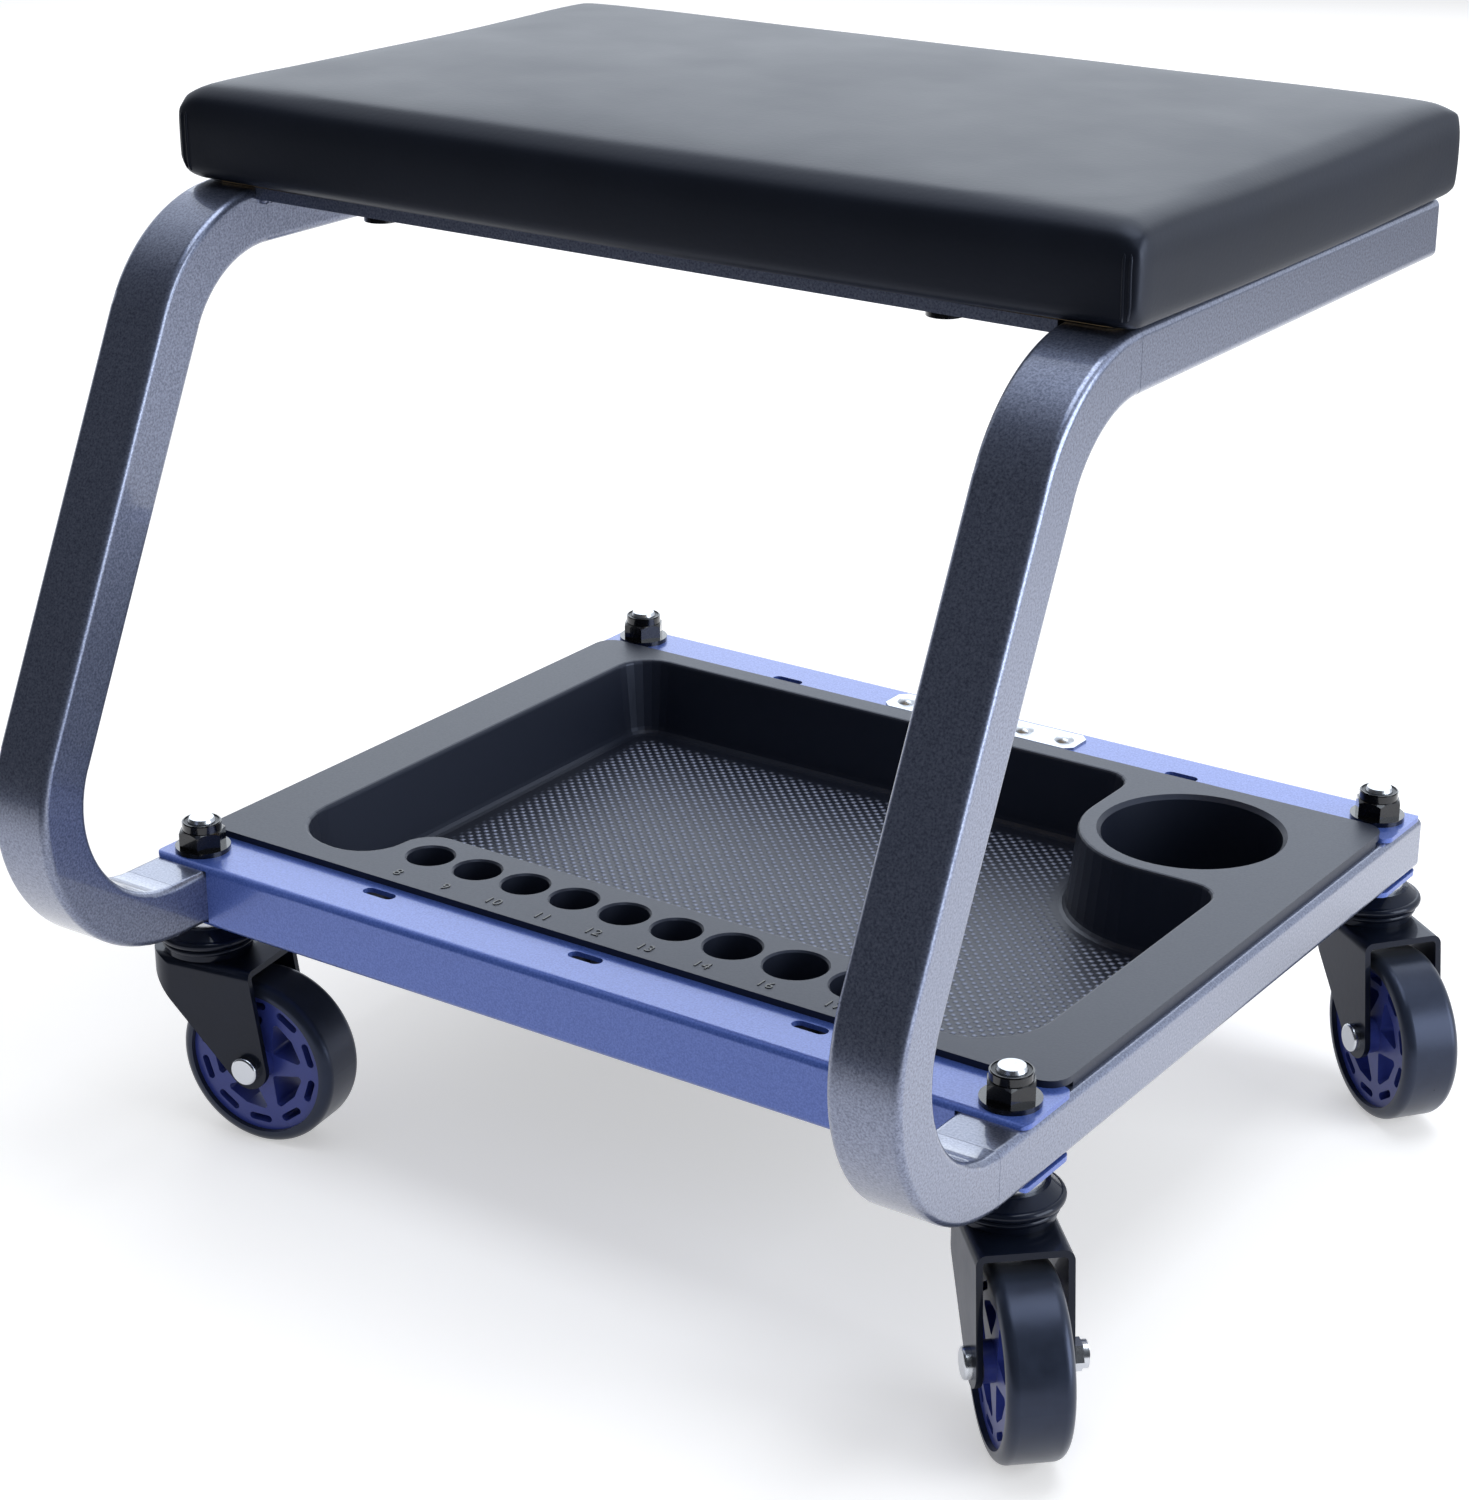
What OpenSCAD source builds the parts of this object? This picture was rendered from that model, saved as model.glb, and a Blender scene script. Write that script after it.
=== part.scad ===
// Workshop creeper seat: two bent side tubes, two channel rails bolted through them by the
// caster stems, a drop-in parts tray, a padded seat and four swivel casters.
// Millimetres, +Z up, X across the seat, -Y towards the front bends. The origin lies on the
// floor in the middle of the whole outline.

/* [Frame] */
// Width over the two side tubes
frame_w = 360; // [330:1:440]
// Depth of the base, from the front bends to the rear ends of the tubes
base_d = 368; // [350:1:460]
// Height of a side frame, from under its lower run to the top of its upper run
frame_h = 257.6; // [220:1:320]
// Width of a side tube
tube_w = 25; // [22:0.5:30]
// Height of a side tube
tube_h = 20; // [16:0.5:24]
// Wall of a side tube
tube_wall = 1.5; // [1:0.1:2]
// Outer corner radius of a side tube
tube_corner = 2.6; // [2.2:0.1:4]
// Bend radius on the tube's centre line
bend_r = 50; // [38:1:60]
// Lean of the front legs away from upright, in degrees
leg_lean = 25.2; // [15:0.1:32]
// Length of the straight upper run
upper_run = 210; // [190:1:240]

/* [Rails] */
// Sheet thickness of the rails
rail_t = 1.8; // [1.2:0.1:3]
// Depth of a rail's flanges
rail_d = 30; // [26:0.5:32]
// How far the front rail stands behind the front bends
rail_setback = 74.2; // [60:0.5:90]
// Outer radius of the rail's folds
rail_fold_r = 2.6; // [2:0.1:4]
// Corner radius of the flanges in plan
rail_corner = 4; // [1:0.5:8]
// Spacing of the slots along a rail
slot_spacing = 90; // [60:1:110]
// Length of a rail slot
slot_len = 13.5; // [8:0.5:24]
// Width of a rail slot
slot_w = 5; // [3:0.5:8]
// Distance from a rail's outer face to its slots
slot_inset = 18.5; // [14:0.5:22]

/* [Badge plate] */
// Length of the bare plate on the rear rail
plate_len = 86; // [50:1:120]
// Depth of the plate
plate_d = 16; // [12:0.5:18]
// Thickness of the plate
plate_t = 0.8; // [0.5:0.1:2]
// Corner cut of the plate
plate_cut = 3; // [0.5:0.5:5]
// Distance from the rail's outer face to the middle of the plate
plate_inset = 12.7; // [11:0.1:15]
// Spacing of the outer rivets
rivet_span = 72; // [36:1:76]
// Spacing of the inner rivets
rivet_inner_span = 36; // [14:1:60]
// Rivet shank diameter
rivet_d = 4; // [3:0.1:5]
// Rivet head diameter
rivet_head_d = 8; // [6.5:0.1:10]
// Rivet head height
rivet_head_h = 2; // [1:0.1:3]
// Height of the set end under the flange
rivet_tail_h = 1.4; // [0.6:0.1:3]

/* [Seat] */
// Width of the cushion
seat_w = 362.8; // [330:1:440]
// Depth of the cushion
seat_d = 227.6; // [200:1:240]
// Height of the cushion at its crown
seat_h = 36.6; // [30:0.1:60]
// How far the cushion stands behind the front bends
seat_setback = 112.5; // [100:0.5:130]
// Corner radius of the cushion in plan
seat_corner = 9; // [7:0.5:20]
// Roll of the cushion's top edge
seat_edge_r = 9; // [6:0.5:14]
// Rise of the crown above the edge roll
seat_crown = 3.4; // [1:0.1:8]
// How far the cover is drawn in along its lower edge
seat_draw_in = 3; // [1:0.1:5]
// Thickness of the padding and cover round the board's edge
seat_wrap = 7; // [6.5:0.5:12]
// Thickness of the plywood seat board
board_t = 10; // [8:0.5:15]
// Width of a cross bar under the seat
bar_w = 25; // [20:1:40]
// Thickness of a cross bar
bar_t = 4; // [3:0.5:6]
// How far the front bar stands behind the front edge of the cushion
bar_front_inset = 6; // [2:0.5:20]
// How far the rear bar stands before the rear ends of the upper runs
bar_rear_inset = 20; // [5:1:60]
// Spacing of the seat screws across the seat
screw_span = 220; // [120:5:260]
// Seat screw diameter
screw_d = 6; // [5:0.5:8]
// Seat screw head diameter
screw_head_d = 12; // [10:0.5:16]
// Seat screw head height
screw_head_h = 3.6; // [2:0.1:5]
// Barrel diameter of the tee nuts in the board
tee_d = 8; // [7.5:0.1:10]
// Flange diameter of the tee nuts
tee_flange_d = 18; // [14:0.5:24]
// Flange thickness of the tee nuts
tee_flange_t = 1.4; // [1:0.1:2]

/* [Tray] */
// Width of the tray's rim
tray_w = 354; // [330:1:430]
// Thickness of the rim
rim_t = 2.5; // [2:0.1:4]
// Gap from the outer face of either rail to the tray's rim
tray_gap = 25; // [21.5:0.1:28]
// Corner radius of the rim
rim_corner = 8; // [2:0.5:16]
// Depth of the main recess
recess_depth = 31; // [20:0.5:32]
// Width of the rim beside the recess
side_rim = 24.4; // [24.4:0.1:40]
// Width of the rim before the recess
front_rim = 11.7; // [9.5:0.1:12]
// Width of the rim behind the recess
rear_rim = 9.9; // [9:0.1:12]
// Inward draft of the recess walls over their height
recess_draft = 3; // [1:0.1:5]
// Rounding of the recess's upper edge
lip_r = 1.4; // [0.5:0.1:2]
// Fillet round the recess floor
floor_r = 3; // [1:0.1:5]
// Wall thickness of the moulding
tray_wall = 2.2; // [1.5:0.1:3]
// Depth of the socket strip, from the front of the pockets to its rear edge
strip_d = 29.7; // [29.3:0.1:40]
// Width of each pocket beside the socket strip
pocket_w = 43.7; // [42.5:0.1:60]
// Radius of the pockets' outer front corners
pocket_r = 25.6; // [9:0.1:26.8]
// Radius of the pockets' front corners towards the strip
pocket_in_r = 16.6; // [9:0.1:17]
// Radius of the strip's rear corners
strip_corner = 12.6; // [4:0.1:13]
// Radius of the other recess corners
recess_corner = 14.6; // [9:0.1:24]
// Radius of the corners where the recess meets the cup island
island_corner = 10.6; // [7:0.1:14]
// Cup well diameter
cup_d = 66; // [60:0.5:76]
// Cup well depth
cup_depth = 38; // [20:0.5:39]
// Land round the cup well
cup_land = 8.4; // [5:0.1:10]
// Gap from the side edge of the rim to the cup well
cup_side_gap = 24.3; // [20:0.1:30]
// Gap from the rear edge of the rim to the cup well
cup_rear_gap = 10; // [8:0.1:14]
// Chamfer round the cup well's mouth
cup_chamfer = 1.6; // [0.5:0.1:3]
// Diameters of the socket wells from left to right
socket_d = [17, 17, 17, 17, 17.5, 17.5, 20, 22, 22];
// Depth of the socket wells
socket_depth = 24; // [10:0.5:30]
// Land between neighbouring socket wells
socket_land = 4.4; // [3:0.1:4.6]
// Distance from the strip's rear edge to the middle of the socket row
socket_inset = 16.6; // [15:0.1:17.6]
// Chamfer round a socket well's mouth
socket_chamfer = 0.7; // [0.2:0.1:1.2]

/* [Caster] */
// Height from the floor to the underside of the rails
caster_h = 84.6; // [80:0.1:110]
// Wheel diameter
wheel_d = 63.5; // [55:0.5:64]
// Wheel width over the tyre
wheel_w = 21.5; // [16:0.5:21.5]
// Distance from the swivel axis to the axle
trail = 24.4; // [20:0.1:28]
// Hub rim diameter, where the tyre starts
hub_d = 54.6; // [48:0.1:55]
// Width of the hub's rim
hub_w = 17.4; // [14:0.1:19]
// Hub boss diameter
boss_d = 13.5; // [13:0.5:18]
// Outer radius of the hub windows
window_r = 18.8; // [16:0.1:19]
// Corner radius of the hub windows
window_corner = 1.4; // [0.8:0.1:2]
// Width of the hub's spokes
spoke_w = 4.8; // [3:0.1:7]
// Number of spokes
spokes = 5; // [4:1:6]
// Radius of the middle of the rim slots
dash_r = 22.9; // [21.8:0.1:23.2]
// Width of the rim slots
dash_w = 2.8; // [1.5:0.1:3]
// Length of a rim slot
dash_len = 9.4; // [5:0.1:11]
// Rounding of the tyre's shoulders
tyre_shoulder = 3.6; // [2:0.1:4]
// Fork sheet thickness
fork_t = 2.2; // [1.5:0.1:3]
// Width over the fork's cheeks
fork_w = 31; // [27:0.5:32]
// Reach of the fork plate before the swivel axis
fork_front = 19; // [17.9:0.5:24]
// Reach of the fork plate behind the swivel axis
fork_back = 26.5; // [22:0.5:30]
// Height of the fork plate's top above the floor
fork_top = 70.2; // [69.8:0.1:74]
// Depth of the apron at the fork's front
apron_h = 6; // [5:0.5:14]
// Radius of the fork's cheeks round the axle
cheek_r = 8; // [7:0.5:10]
// Corner radius of the hood's front in plan
hood_corner = 12; // [5:0.5:12]
// Fold radius along the fork's top edges
fork_fold = 3.4; // [2.6:0.1:5]
// Diameter of the caster stem
stem_d = 10; // [8:0.5:11]
// Diameter of the upper race
race_d = 37; // [34:0.5:40]
// Diameter of the lower race
lower_race_d = 34; // [33:0.5:37]
// Bearing ball diameter
ball_d = 4; // [3:0.1:4.4]
// Diameter of the ring of balls
ball_ring_d = 25; // [24:0.5:25.5]
// Number of balls
balls = 16; // [8:1:16]
// Axle bolt diameter
axle_d = 6; // [5:0.1:6.6]
// Outside diameter of the axle sleeve
sleeve_d = 9; // [8.4:0.1:11]
// Axle bolt head diameter
axle_head_d = 10.6; // [9:0.1:13]
// Axle bolt head height
axle_head_h = 3; // [2:0.1:4]
// Angle of the front left caster's wheel from +X, in degrees
swivel_angle_fl = 8.7; // [-180:0.1:180]
// Angle of the front right caster's wheel
swivel_angle_fr = -47; // [-180:0.1:180]
// Angle of the rear right caster's wheel
swivel_angle_rr = -37.9; // [-180:0.1:180]
// Angle of the rear left caster's wheel
swivel_angle_rl = 217.9; // [-180:0.1:360]

/* [Stem nuts] */
// Flange diameter of a lock nut
nut_flange_d = 20; // [18:0.5:24]
// Flange thickness of a lock nut
nut_flange_t = 1.8; // [1:0.1:3]
// Distance across the flats of a lock nut
nut_flats = 15; // [14.5:0.5:17]
// Height of a lock nut's hexagon over its flange
nut_hex_h = 6.2; // [4:0.1:9]
// Height of the nut's collar over the hexagon
nut_collar_h = 3.2; // [2.6:0.1:5]
// Outside diameter of the collar
nut_collar_d = 14.2; // [13.6:0.1:14.5]
// Distance from a rail's outer face to its stem nuts
nut_inset = 12.3; // [11:0.1:16]
// How far a stem stands out of its nut
stem_end = 1.2; // [0.5:0.1:4]

/* [Hidden] */
$fn = 48;

// Clearances, shared by the pieces on both sides of a fit
run_gap = 0.05;      // round, where one piece turns on another
hole_gap = 0.25;     // round, where a fastener passes through sheet
seat_gap = 0.05;     // round or flat, where one piece sits in another
slip_gap = 0.3;      // between faces that pass each other
over = 1;            // how far a cut runs past what it cuts

// How far a caster's hood reaches behind its stem when its wheel is turned to an angle
function hood_reach(turn) = hood_corner - (fork_front - hood_corner) * sin(turn)
    + (fork_w / 2 - hood_corner) * abs(cos(turn));

// Places along Y
rear_reach = max(hood_reach(swivel_angle_rl), hood_reach(swivel_angle_rr));
base_front = (nut_inset - base_d - rear_reach) / 2;   // front of the bends
base_rear = base_front + base_d;                 // rear ends of the lower runs, and the rear rail
rail_front = base_front + rail_setback;          // outer face of the front rail
low_bend_y = base_front + tube_h / 2 + bend_r;   // axis of the lower bends
nut_ys = [rail_front + nut_inset, base_rear - nut_inset];
nut_x = frame_w / 2 - tube_w / 2;
inner_half = frame_w / 2 - tube_w;               // inner faces of the side tubes

// Places along Z
rail_h = tube_h + 2 * rail_t;
rail_top = caster_h + rail_h;
low_z = caster_h + rail_t + tube_h / 2;          // centre line of the lower runs
seat_z = caster_h + rail_t + frame_h;            // top of the upper runs, where the seat lies
high_z = seat_z - tube_h / 2;
low_bend_z = low_z + bend_r;
high_bend_z = high_z - bend_r;
high_bend_y = low_bend_y + (high_bend_z - low_bend_z) * tan(leg_lean);
upper_rear = high_bend_y + upper_run;
leg_len = (high_bend_z - low_bend_z) / cos(leg_lean);
axle_z = wheel_d / 2;
nut_h = nut_flange_t + nut_hex_h + nut_collar_h;

function unit(v) = v / norm(v);
function outward(a, b) = let (d = unit(b - a)) [d[1], -d[0]];
function sum_to(v, n) = n <= 0 ? 0 : v[n - 1] + sum_to(v, n - 1);
function arc(c, r, from, to, n) =
    [for (i = [0:n]) c + r * [cos(from + (to - from) * i / n), sin(from + (to - from) * i / n)]];

// Rounded rectangle, centred
module rounded_rect(w, h, r) {
    square([w - 2 * r, h], center = true);
    square([w, h - 2 * r], center = true);
    for (x = [-1, 1], y = [-1, 1]) translate([x * (w / 2 - r), y * (h / 2 - r)]) circle(r);
}

// Outline with corners of radius r round anticlockwise centres, its sides a hair inside the
// rounds, so that the two cross cleanly
module round_outline(centres, r) {
    n = len(centres);
    polygon([for (i = [0:n - 1], k = [0, 1]) centres[i] + (r - seat_gap / 2) * (k == 0
        ? outward(centres[(i + n - 1) % n], centres[i])
        : outward(centres[i], centres[(i + 1) % n]))]);
    for (c = centres) translate(c) circle(r);
}

// Slot with round ends, centred, along X
module slot(length, width) {
    square([length - width, width], center = true);
    for (x = [-1, 1]) translate([x * (length - width) / 2, 0]) circle(d = width);
}

// Fans of an end face: runs lists which middle takes the ring's points from where to where, in
// order round the ring, and a triangle joins each middle to the next
function end_fans(n, runs, first, middle) = concat(
    [for (r = runs, i = [r[1]:r[2] - 1]) [first + i % n, first + (i + 1) % n, middle + r[0]]],
    [for (k = [0:len(runs) - 1]) let (next = runs[(k + 1) % len(runs)])
        if (next[0] != runs[k][0])
            [first + runs[k][2] % n, middle + next[0], middle + runs[k][0]]]);

// Closed skin through rings of equal count, each anticlockwise seen from +Z, lowest first, its
// ends closed by fans round the middles in low and high
module skin(rings, low, high, runs) {
    n = len(rings[0]);
    m = len(rings);
    pts = concat([for (ring = rings) each ring], low, high);
    sides = [for (k = [0:m - 2], i = [0:n - 1]) each [
        [k * n + i, (k + 1) * n + i, (k + 1) * n + (i + 1) % n],
        [k * n + i, (k + 1) * n + (i + 1) % n, k * n + (i + 1) % n]]];
    top = end_fans(n, runs, (m - 1) * n, m * n + len(low));
    polyhedron(pts, concat(sides, end_fans(n, runs, 0, m * n), [for (t = top) [t[1], t[0], t[2]]]),
        convexity = 6);
}

// Section of the rectangular tube, its width along X, its wall thinned on both faces by thin
module tube_section(thin) {
    wall = tube_wall - thin;
    difference() {
        rounded_rect(tube_w - 2 * thin, tube_h - 2 * thin, tube_corner);
        rounded_rect(tube_w - 2 * wall, tube_h - 2 * wall, tube_corner - tube_wall);
    }
}

// Straight run of tube from p at a slope, run on into the bends at either end by lap
module tube_run(p, slope, length, start_lap, end_lap) {
    translate([0, p[0], p[1]]) rotate([slope, 0, 0]) translate([0, 0, -start_lap])
        linear_extrude(start_lap + length + end_lap) tube_section(0);
}

// Bend round c, its wall a hair thinner than the runs that it ends in
module tube_bend(c, from, angle) {
    translate([0, c[0], c[1]]) rotate([0, 90, 0]) rotate([0, 0, from])
        rotate_extrude(angle = angle) translate([bend_r, 0]) rotate(90) tube_section(seat_gap);
}

// Side frame tube: lower run, bend, leaning leg, bend and upper run, bored for two caster stems
module side_tube(side) {
    lap = tube_wall / 2;
    leg_foot = [low_bend_y - bend_r * cos(leg_lean), low_bend_z + bend_r * sin(leg_lean)];
    color("slategray") translate([side * nut_x, 0, 0]) difference() {
        union() {
            tube_run([low_bend_y, low_z], -90, base_rear - low_bend_y, lap, 0);
            tube_bend([low_bend_y, low_bend_z], -90 - leg_lean, 90 + leg_lean);
            tube_run(leg_foot, -leg_lean, leg_len, lap, lap);
            tube_bend([high_bend_y, high_bend_z], -180, 90 - leg_lean);
            tube_run([high_bend_y, high_z], -90, upper_run, lap, 0);
        }
        for (y = nut_ys) translate([0, y, caster_h])
            cylinder(d = stem_d + 2 * hole_gap, h = rail_h);
    }
}

// Hollow plugs pressed flush into the four tube ends, short of the stems that pass behind them
module tube_end_plugs() {
    plug_w = tube_w - 2 * tube_wall - 2 * seat_gap;
    plug_h = tube_h - 2 * tube_wall - 2 * seat_gap;
    plug_r = tube_corner - tube_wall;
    plug_wall = tube_wall;
    plug_len = nut_inset - stem_d / 2 - slip_gap;
    color("black") for (side = [-1, 1], end = [[base_rear, low_z], [upper_rear, high_z]])
        translate([side * nut_x, end[0], end[1]]) rotate([90, 0, 0]) difference() {
            linear_extrude(plug_len) rounded_rect(plug_w, plug_h, plug_r);
            translate([0, 0, plug_wall]) linear_extrude(plug_len)
                square([plug_w - 2 * plug_wall, plug_h - 2 * plug_wall], center = true);
        }
}

// Channel rail with its outer face at y = 0: the web lies between the tubes, the flanges run
// over and under them
module rail() {
    fold_in = rail_fold_r - rail_t;
    web_half = inner_half - seat_gap;
    difference() {
        intersection() {
            translate([-frame_w / 2, 0, 0]) rotate([90, 0, 90]) linear_extrude(frame_w)
                difference() {
                    translate([rail_d, rail_h / 2])
                        rounded_rect(2 * rail_d, rail_h, rail_fold_r);
                    translate([rail_t + rail_d, rail_h / 2])
                        rounded_rect(2 * rail_d, tube_h, fold_in);
                    translate([rail_d, -over]) square([2 * rail_d, rail_h + 2 * over]);
                }
            translate([0, rail_d / 2, -over]) linear_extrude(rail_h + 2 * over)
                rounded_rect(frame_w, rail_d, rail_corner);
        }
        for (side = [-1, 1]) {
            translate([side * (web_half + tube_w), rail_d / 2, rail_h / 2])
                cube([2 * tube_w, rail_d + 2 * over, tube_h], center = true);
            translate([side * nut_x, nut_inset, -over])
                cylinder(d = stem_d + 2 * hole_gap, h = rail_h + 2 * over);
        }
        for (i = [-1, 0, 1]) translate([i * slot_spacing, slot_inset, rail_h - rail_t - over])
            linear_extrude(rail_t + 2 * over) slot(slot_len, slot_w);
    }
}

module front_rail() {
    color("royalblue") translate([0, rail_front, caster_h]) rail();
}

rivet_xs = [-rivet_span / 2, -rivet_inner_span / 2, rivet_inner_span / 2, rivet_span / 2];

module rear_rail() {
    color("royalblue") translate([0, base_rear, caster_h]) mirror([0, 1, 0]) difference() {
        rail();
        for (x = rivet_xs) translate([x, plate_inset, rail_h - rail_t - over])
            cylinder(d = rivet_d + 2 * seat_gap, h = rail_t + 2 * over);
    }
}

// Bare bright plate on the rear rail's top flange
module badge_plate() {
    a = plate_len / 2;
    b = plate_d / 2;
    c = plate_cut;
    color("gainsboro") translate([0, base_rear - plate_inset, rail_top])
        linear_extrude(plate_t) difference() {
            polygon([[c - a, -b], [a - c, -b], [a, c - b], [a, b - c],
                [a - c, b], [c - a, b], [-a, b - c], [-a, c - b]]);
            for (x = rivet_xs) translate([x, 0]) circle(d = rivet_d + 2 * seat_gap);
        }
}

// Dome-headed rivets through the plate and the flange
module badge_rivets() {
    dome_r = (pow(rivet_head_d / 2, 2) + pow(rivet_head_h, 2)) / (2 * rivet_head_h);
    tail_d = (rivet_head_d + rivet_d) / 2;
    color("silver") for (x = rivet_xs) translate([x, base_rear - plate_inset, rail_top]) {
        translate([0, 0, -rail_t]) cylinder(d = rivet_d, h = rail_t + plate_t);
        translate([0, 0, -rail_t - rivet_tail_h]) cylinder(d = tail_d, h = rivet_tail_h);
        translate([0, 0, plate_t]) intersection() {
            translate([0, 0, rivet_head_h - dome_r]) sphere(dome_r);
            cylinder(d = rivet_head_d + over, h = rivet_head_h + over);
        }
    }
}

// Places of the seat and its cross bars
seat_front = base_front + seat_setback;
seat_mid = seat_front + seat_d / 2;
bar_ys = [seat_front + bar_front_inset, upper_rear - bar_rear_inset - bar_w];
screw_places = [for (x = [-1, 1], y = bar_ys) [x * screw_span / 2, y + bar_w / 2]];

// Flat bar welded between the side tubes, flush with their tops, with two screw holes
module seat_bar(y) {
    color("slategray") difference() {
        translate([-inner_half, y, seat_z - bar_t]) cube([2 * inner_half, bar_w, bar_t]);
        for (p = screw_places) translate([p[0], p[1], seat_z - bar_t - over])
            cylinder(d = screw_d + 2 * hole_gap, h = bar_t + 2 * over);
    }
}

// Plywood board inside the cushion's cover
module seat_board() {
    board_w = seat_w - 2 * seat_wrap;
    board_d = seat_d - 2 * seat_wrap;
    color("burlywood") difference() {
        translate([0, seat_mid, seat_z]) linear_extrude(board_t)
            rounded_rect(board_w, board_d, seat_corner / 2);
        for (p = screw_places) translate([p[0], p[1], seat_z - over])
            cylinder(d = tee_d + 2 * seat_gap, h = board_t + 2 * over);
    }
}

// Tee nuts let into the board from above, their flanges on top
module seat_tee_nuts() {
    color("silver") for (p = screw_places) translate([p[0], p[1], seat_z]) difference() {
        union() {
            cylinder(d = tee_d, h = board_t);
            translate([0, 0, board_t]) cylinder(d = tee_flange_d, h = tee_flange_t);
        }
        translate([0, 0, -over])
            cylinder(d = screw_d + 2 * seat_gap, h = board_t + tee_flange_t + 2 * over);
    }
}

// Pan-head screws up through the bars into the tee nuts
module seat_screws() {
    socket_flats = screw_d * 2 / 3;
    color("dimgray") for (p = screw_places) translate([p[0], p[1], seat_z - bar_t])
        difference() {
            union() {
                cylinder(d = screw_d, h = bar_t + board_t);
                translate([0, 0, -screw_head_h])
                    cylinder(d = screw_head_d, h = screw_head_h);
            }
            translate([0, 0, -screw_head_h - over])
                cylinder(d = socket_flats, h = screw_head_h / 2 + over, $fn = 6);
        }
}

// Ring of the cushion's outline, inset from its widest line, with the sides pulled in between
// the corners by pull
function seat_ring(inset, z, pull) =
    let (a = seat_w / 2 - inset, b = seat_d / 2 - inset,
         r = max(seat_corner - inset / 2, seat_corner / 3),
         side_shares = [-0.75, -0.4, 0, 0.4, 0.75],
         corner = function (sx, sy, from)
             [for (p = arc([sx * (a - r), sy * (b - r)], r, from, from + 90, 5)) p],
         run = function (p, q, n) [for (s = side_shares)
             let (m = (p + q) / 2, e = (q - p) / 2) m + e * s - n * pull * (1 - s * s)],
         right = run([a, r - b], [a, b - r], [1, 0]),
         back = run([a - r, b], [r - a, b], [0, 1]),
         left = run([-a, b - r], [-a, r - b], [-1, 0]),
         front = run([r - a, -b], [a - r, -b], [0, -1]))
    [for (p = concat(corner(1, -1, -90), right, corner(1, 1, 0), back,
        corner(-1, 1, 90), left, corner(-1, -1, 180), front)) [p[0], p[1] + seat_mid, z]];

// Crowned, boxed cushion, its cover drawn in under the board's edge
module seat_cushion() {
    roll_z = seat_z + seat_h - seat_crown;       // top of the edge roll
    side_z = roll_z - seat_edge_r;               // where the roll starts
    draw_shares = [1, 0.5, 0.22, 0.05, 0];       // of seat_draw_in, from the lower edge up
    rise_shares = [0, 0.06, 0.2, 0.55, 0.85];    // of the side's height, from the lower edge up
    crown_inset_shares = [0.16, 0.34, 0.6, 0.85];
    sides = [for (i = [0:len(draw_shares) - 1]) seat_ring(seat_draw_in * draw_shares[i],
        seat_z + (side_z - seat_z) * rise_shares[i], seat_draw_in * draw_shares[i] / 3)];
    roll = [for (t = [0:22.5:90]) seat_ring(seat_edge_r * (1 - cos(t)),
        side_z + seat_edge_r * sin(t), 0)];
    crown = [for (s = crown_inset_shares) let (full = seat_d / 2 - seat_edge_r)
        seat_ring(seat_edge_r + full * s, roll_z + seat_crown * sin(90 * s), 0)];
    color("black") difference() {
        skin(concat(sides, roll, crown), [[0, seat_mid, seat_z]], [[0, seat_mid, seat_z + seat_h]],
            [[0, 0, len(sides[0])]]);
        translate([0, seat_mid, seat_z - over]) linear_extrude(board_t + over + seat_gap)
            rounded_rect(seat_w - 2 * seat_wrap + 2 * seat_gap,
                seat_d - 2 * seat_wrap + 2 * seat_gap, seat_corner / 2);
        for (p = screw_places) translate([p[0], p[1], seat_z])
            cylinder(d = tee_flange_d + 2 * seat_gap, h = board_t + tee_flange_t + seat_gap);
    }
}

// Places of the tray
rim_z = rail_top + rim_t;                        // top of the rim
tray_front = rail_front + tray_gap;
tray_rear = base_rear - tray_gap;
tray_mid = (tray_front + tray_rear) / 2;
recess_half = tray_w / 2 - side_rim;
recess_front = tray_front + front_rim;
recess_rear = tray_rear - rear_rim;
strip_rear = recess_front + strip_d;
strip_half = recess_half - pocket_w;
cup_x = tray_w / 2 - cup_side_gap - cup_d / 2;
cup_y = tray_rear - cup_rear_gap - cup_d / 2;
island_r = cup_d / 2 + cup_land;

// Outline of the main recess, drawn in by inset: pockets at both ends of the socket strip and
// a corner left for the cup well's island
ring_steps = [7, 6, 6, 6, 6, 7, 5, 12, 5, 6];    // facets of its ten arcs
function ring_first(k) = sum_to(ring_steps, k) + k;
function recess_ring(inset, z) =
    let (i = inset, w = recess_half, s = strip_half, n = ring_steps,
         pr = pocket_r, qr = pocket_in_r, sc = strip_corner, rc = recess_corner, ic = island_corner,
         path = concat(
             arc([pr - w, recess_front + pr], pr - i, 180, 270, n[0]),
             arc([-s - qr, recess_front + qr], qr - i, 270, 360, n[1]),
             arc([sc - s, strip_rear - sc], sc + i, 180, 90, n[2]),
             arc([s - sc, strip_rear - sc], sc + i, 90, 0, n[3]),
             arc([s + qr, recess_front + qr], qr - i, 180, 270, n[4]),
             arc([w - pr, recess_front + pr], pr - i, 270, 360, n[5]),
             arc([w - ic, cup_y - island_r - ic], ic - i, 0, 90, n[6]),
             arc([cup_x, cup_y], island_r + i, 270, 180, n[7]),
             arc([cup_x - island_r - ic, recess_rear - ic], ic - i, 0, 90, n[8]),
             arc([rc - w, recess_rear - rc], rc - i, 90, 180, n[9])))
    [for (p = path) [p[0], p[1], z]];

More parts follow.
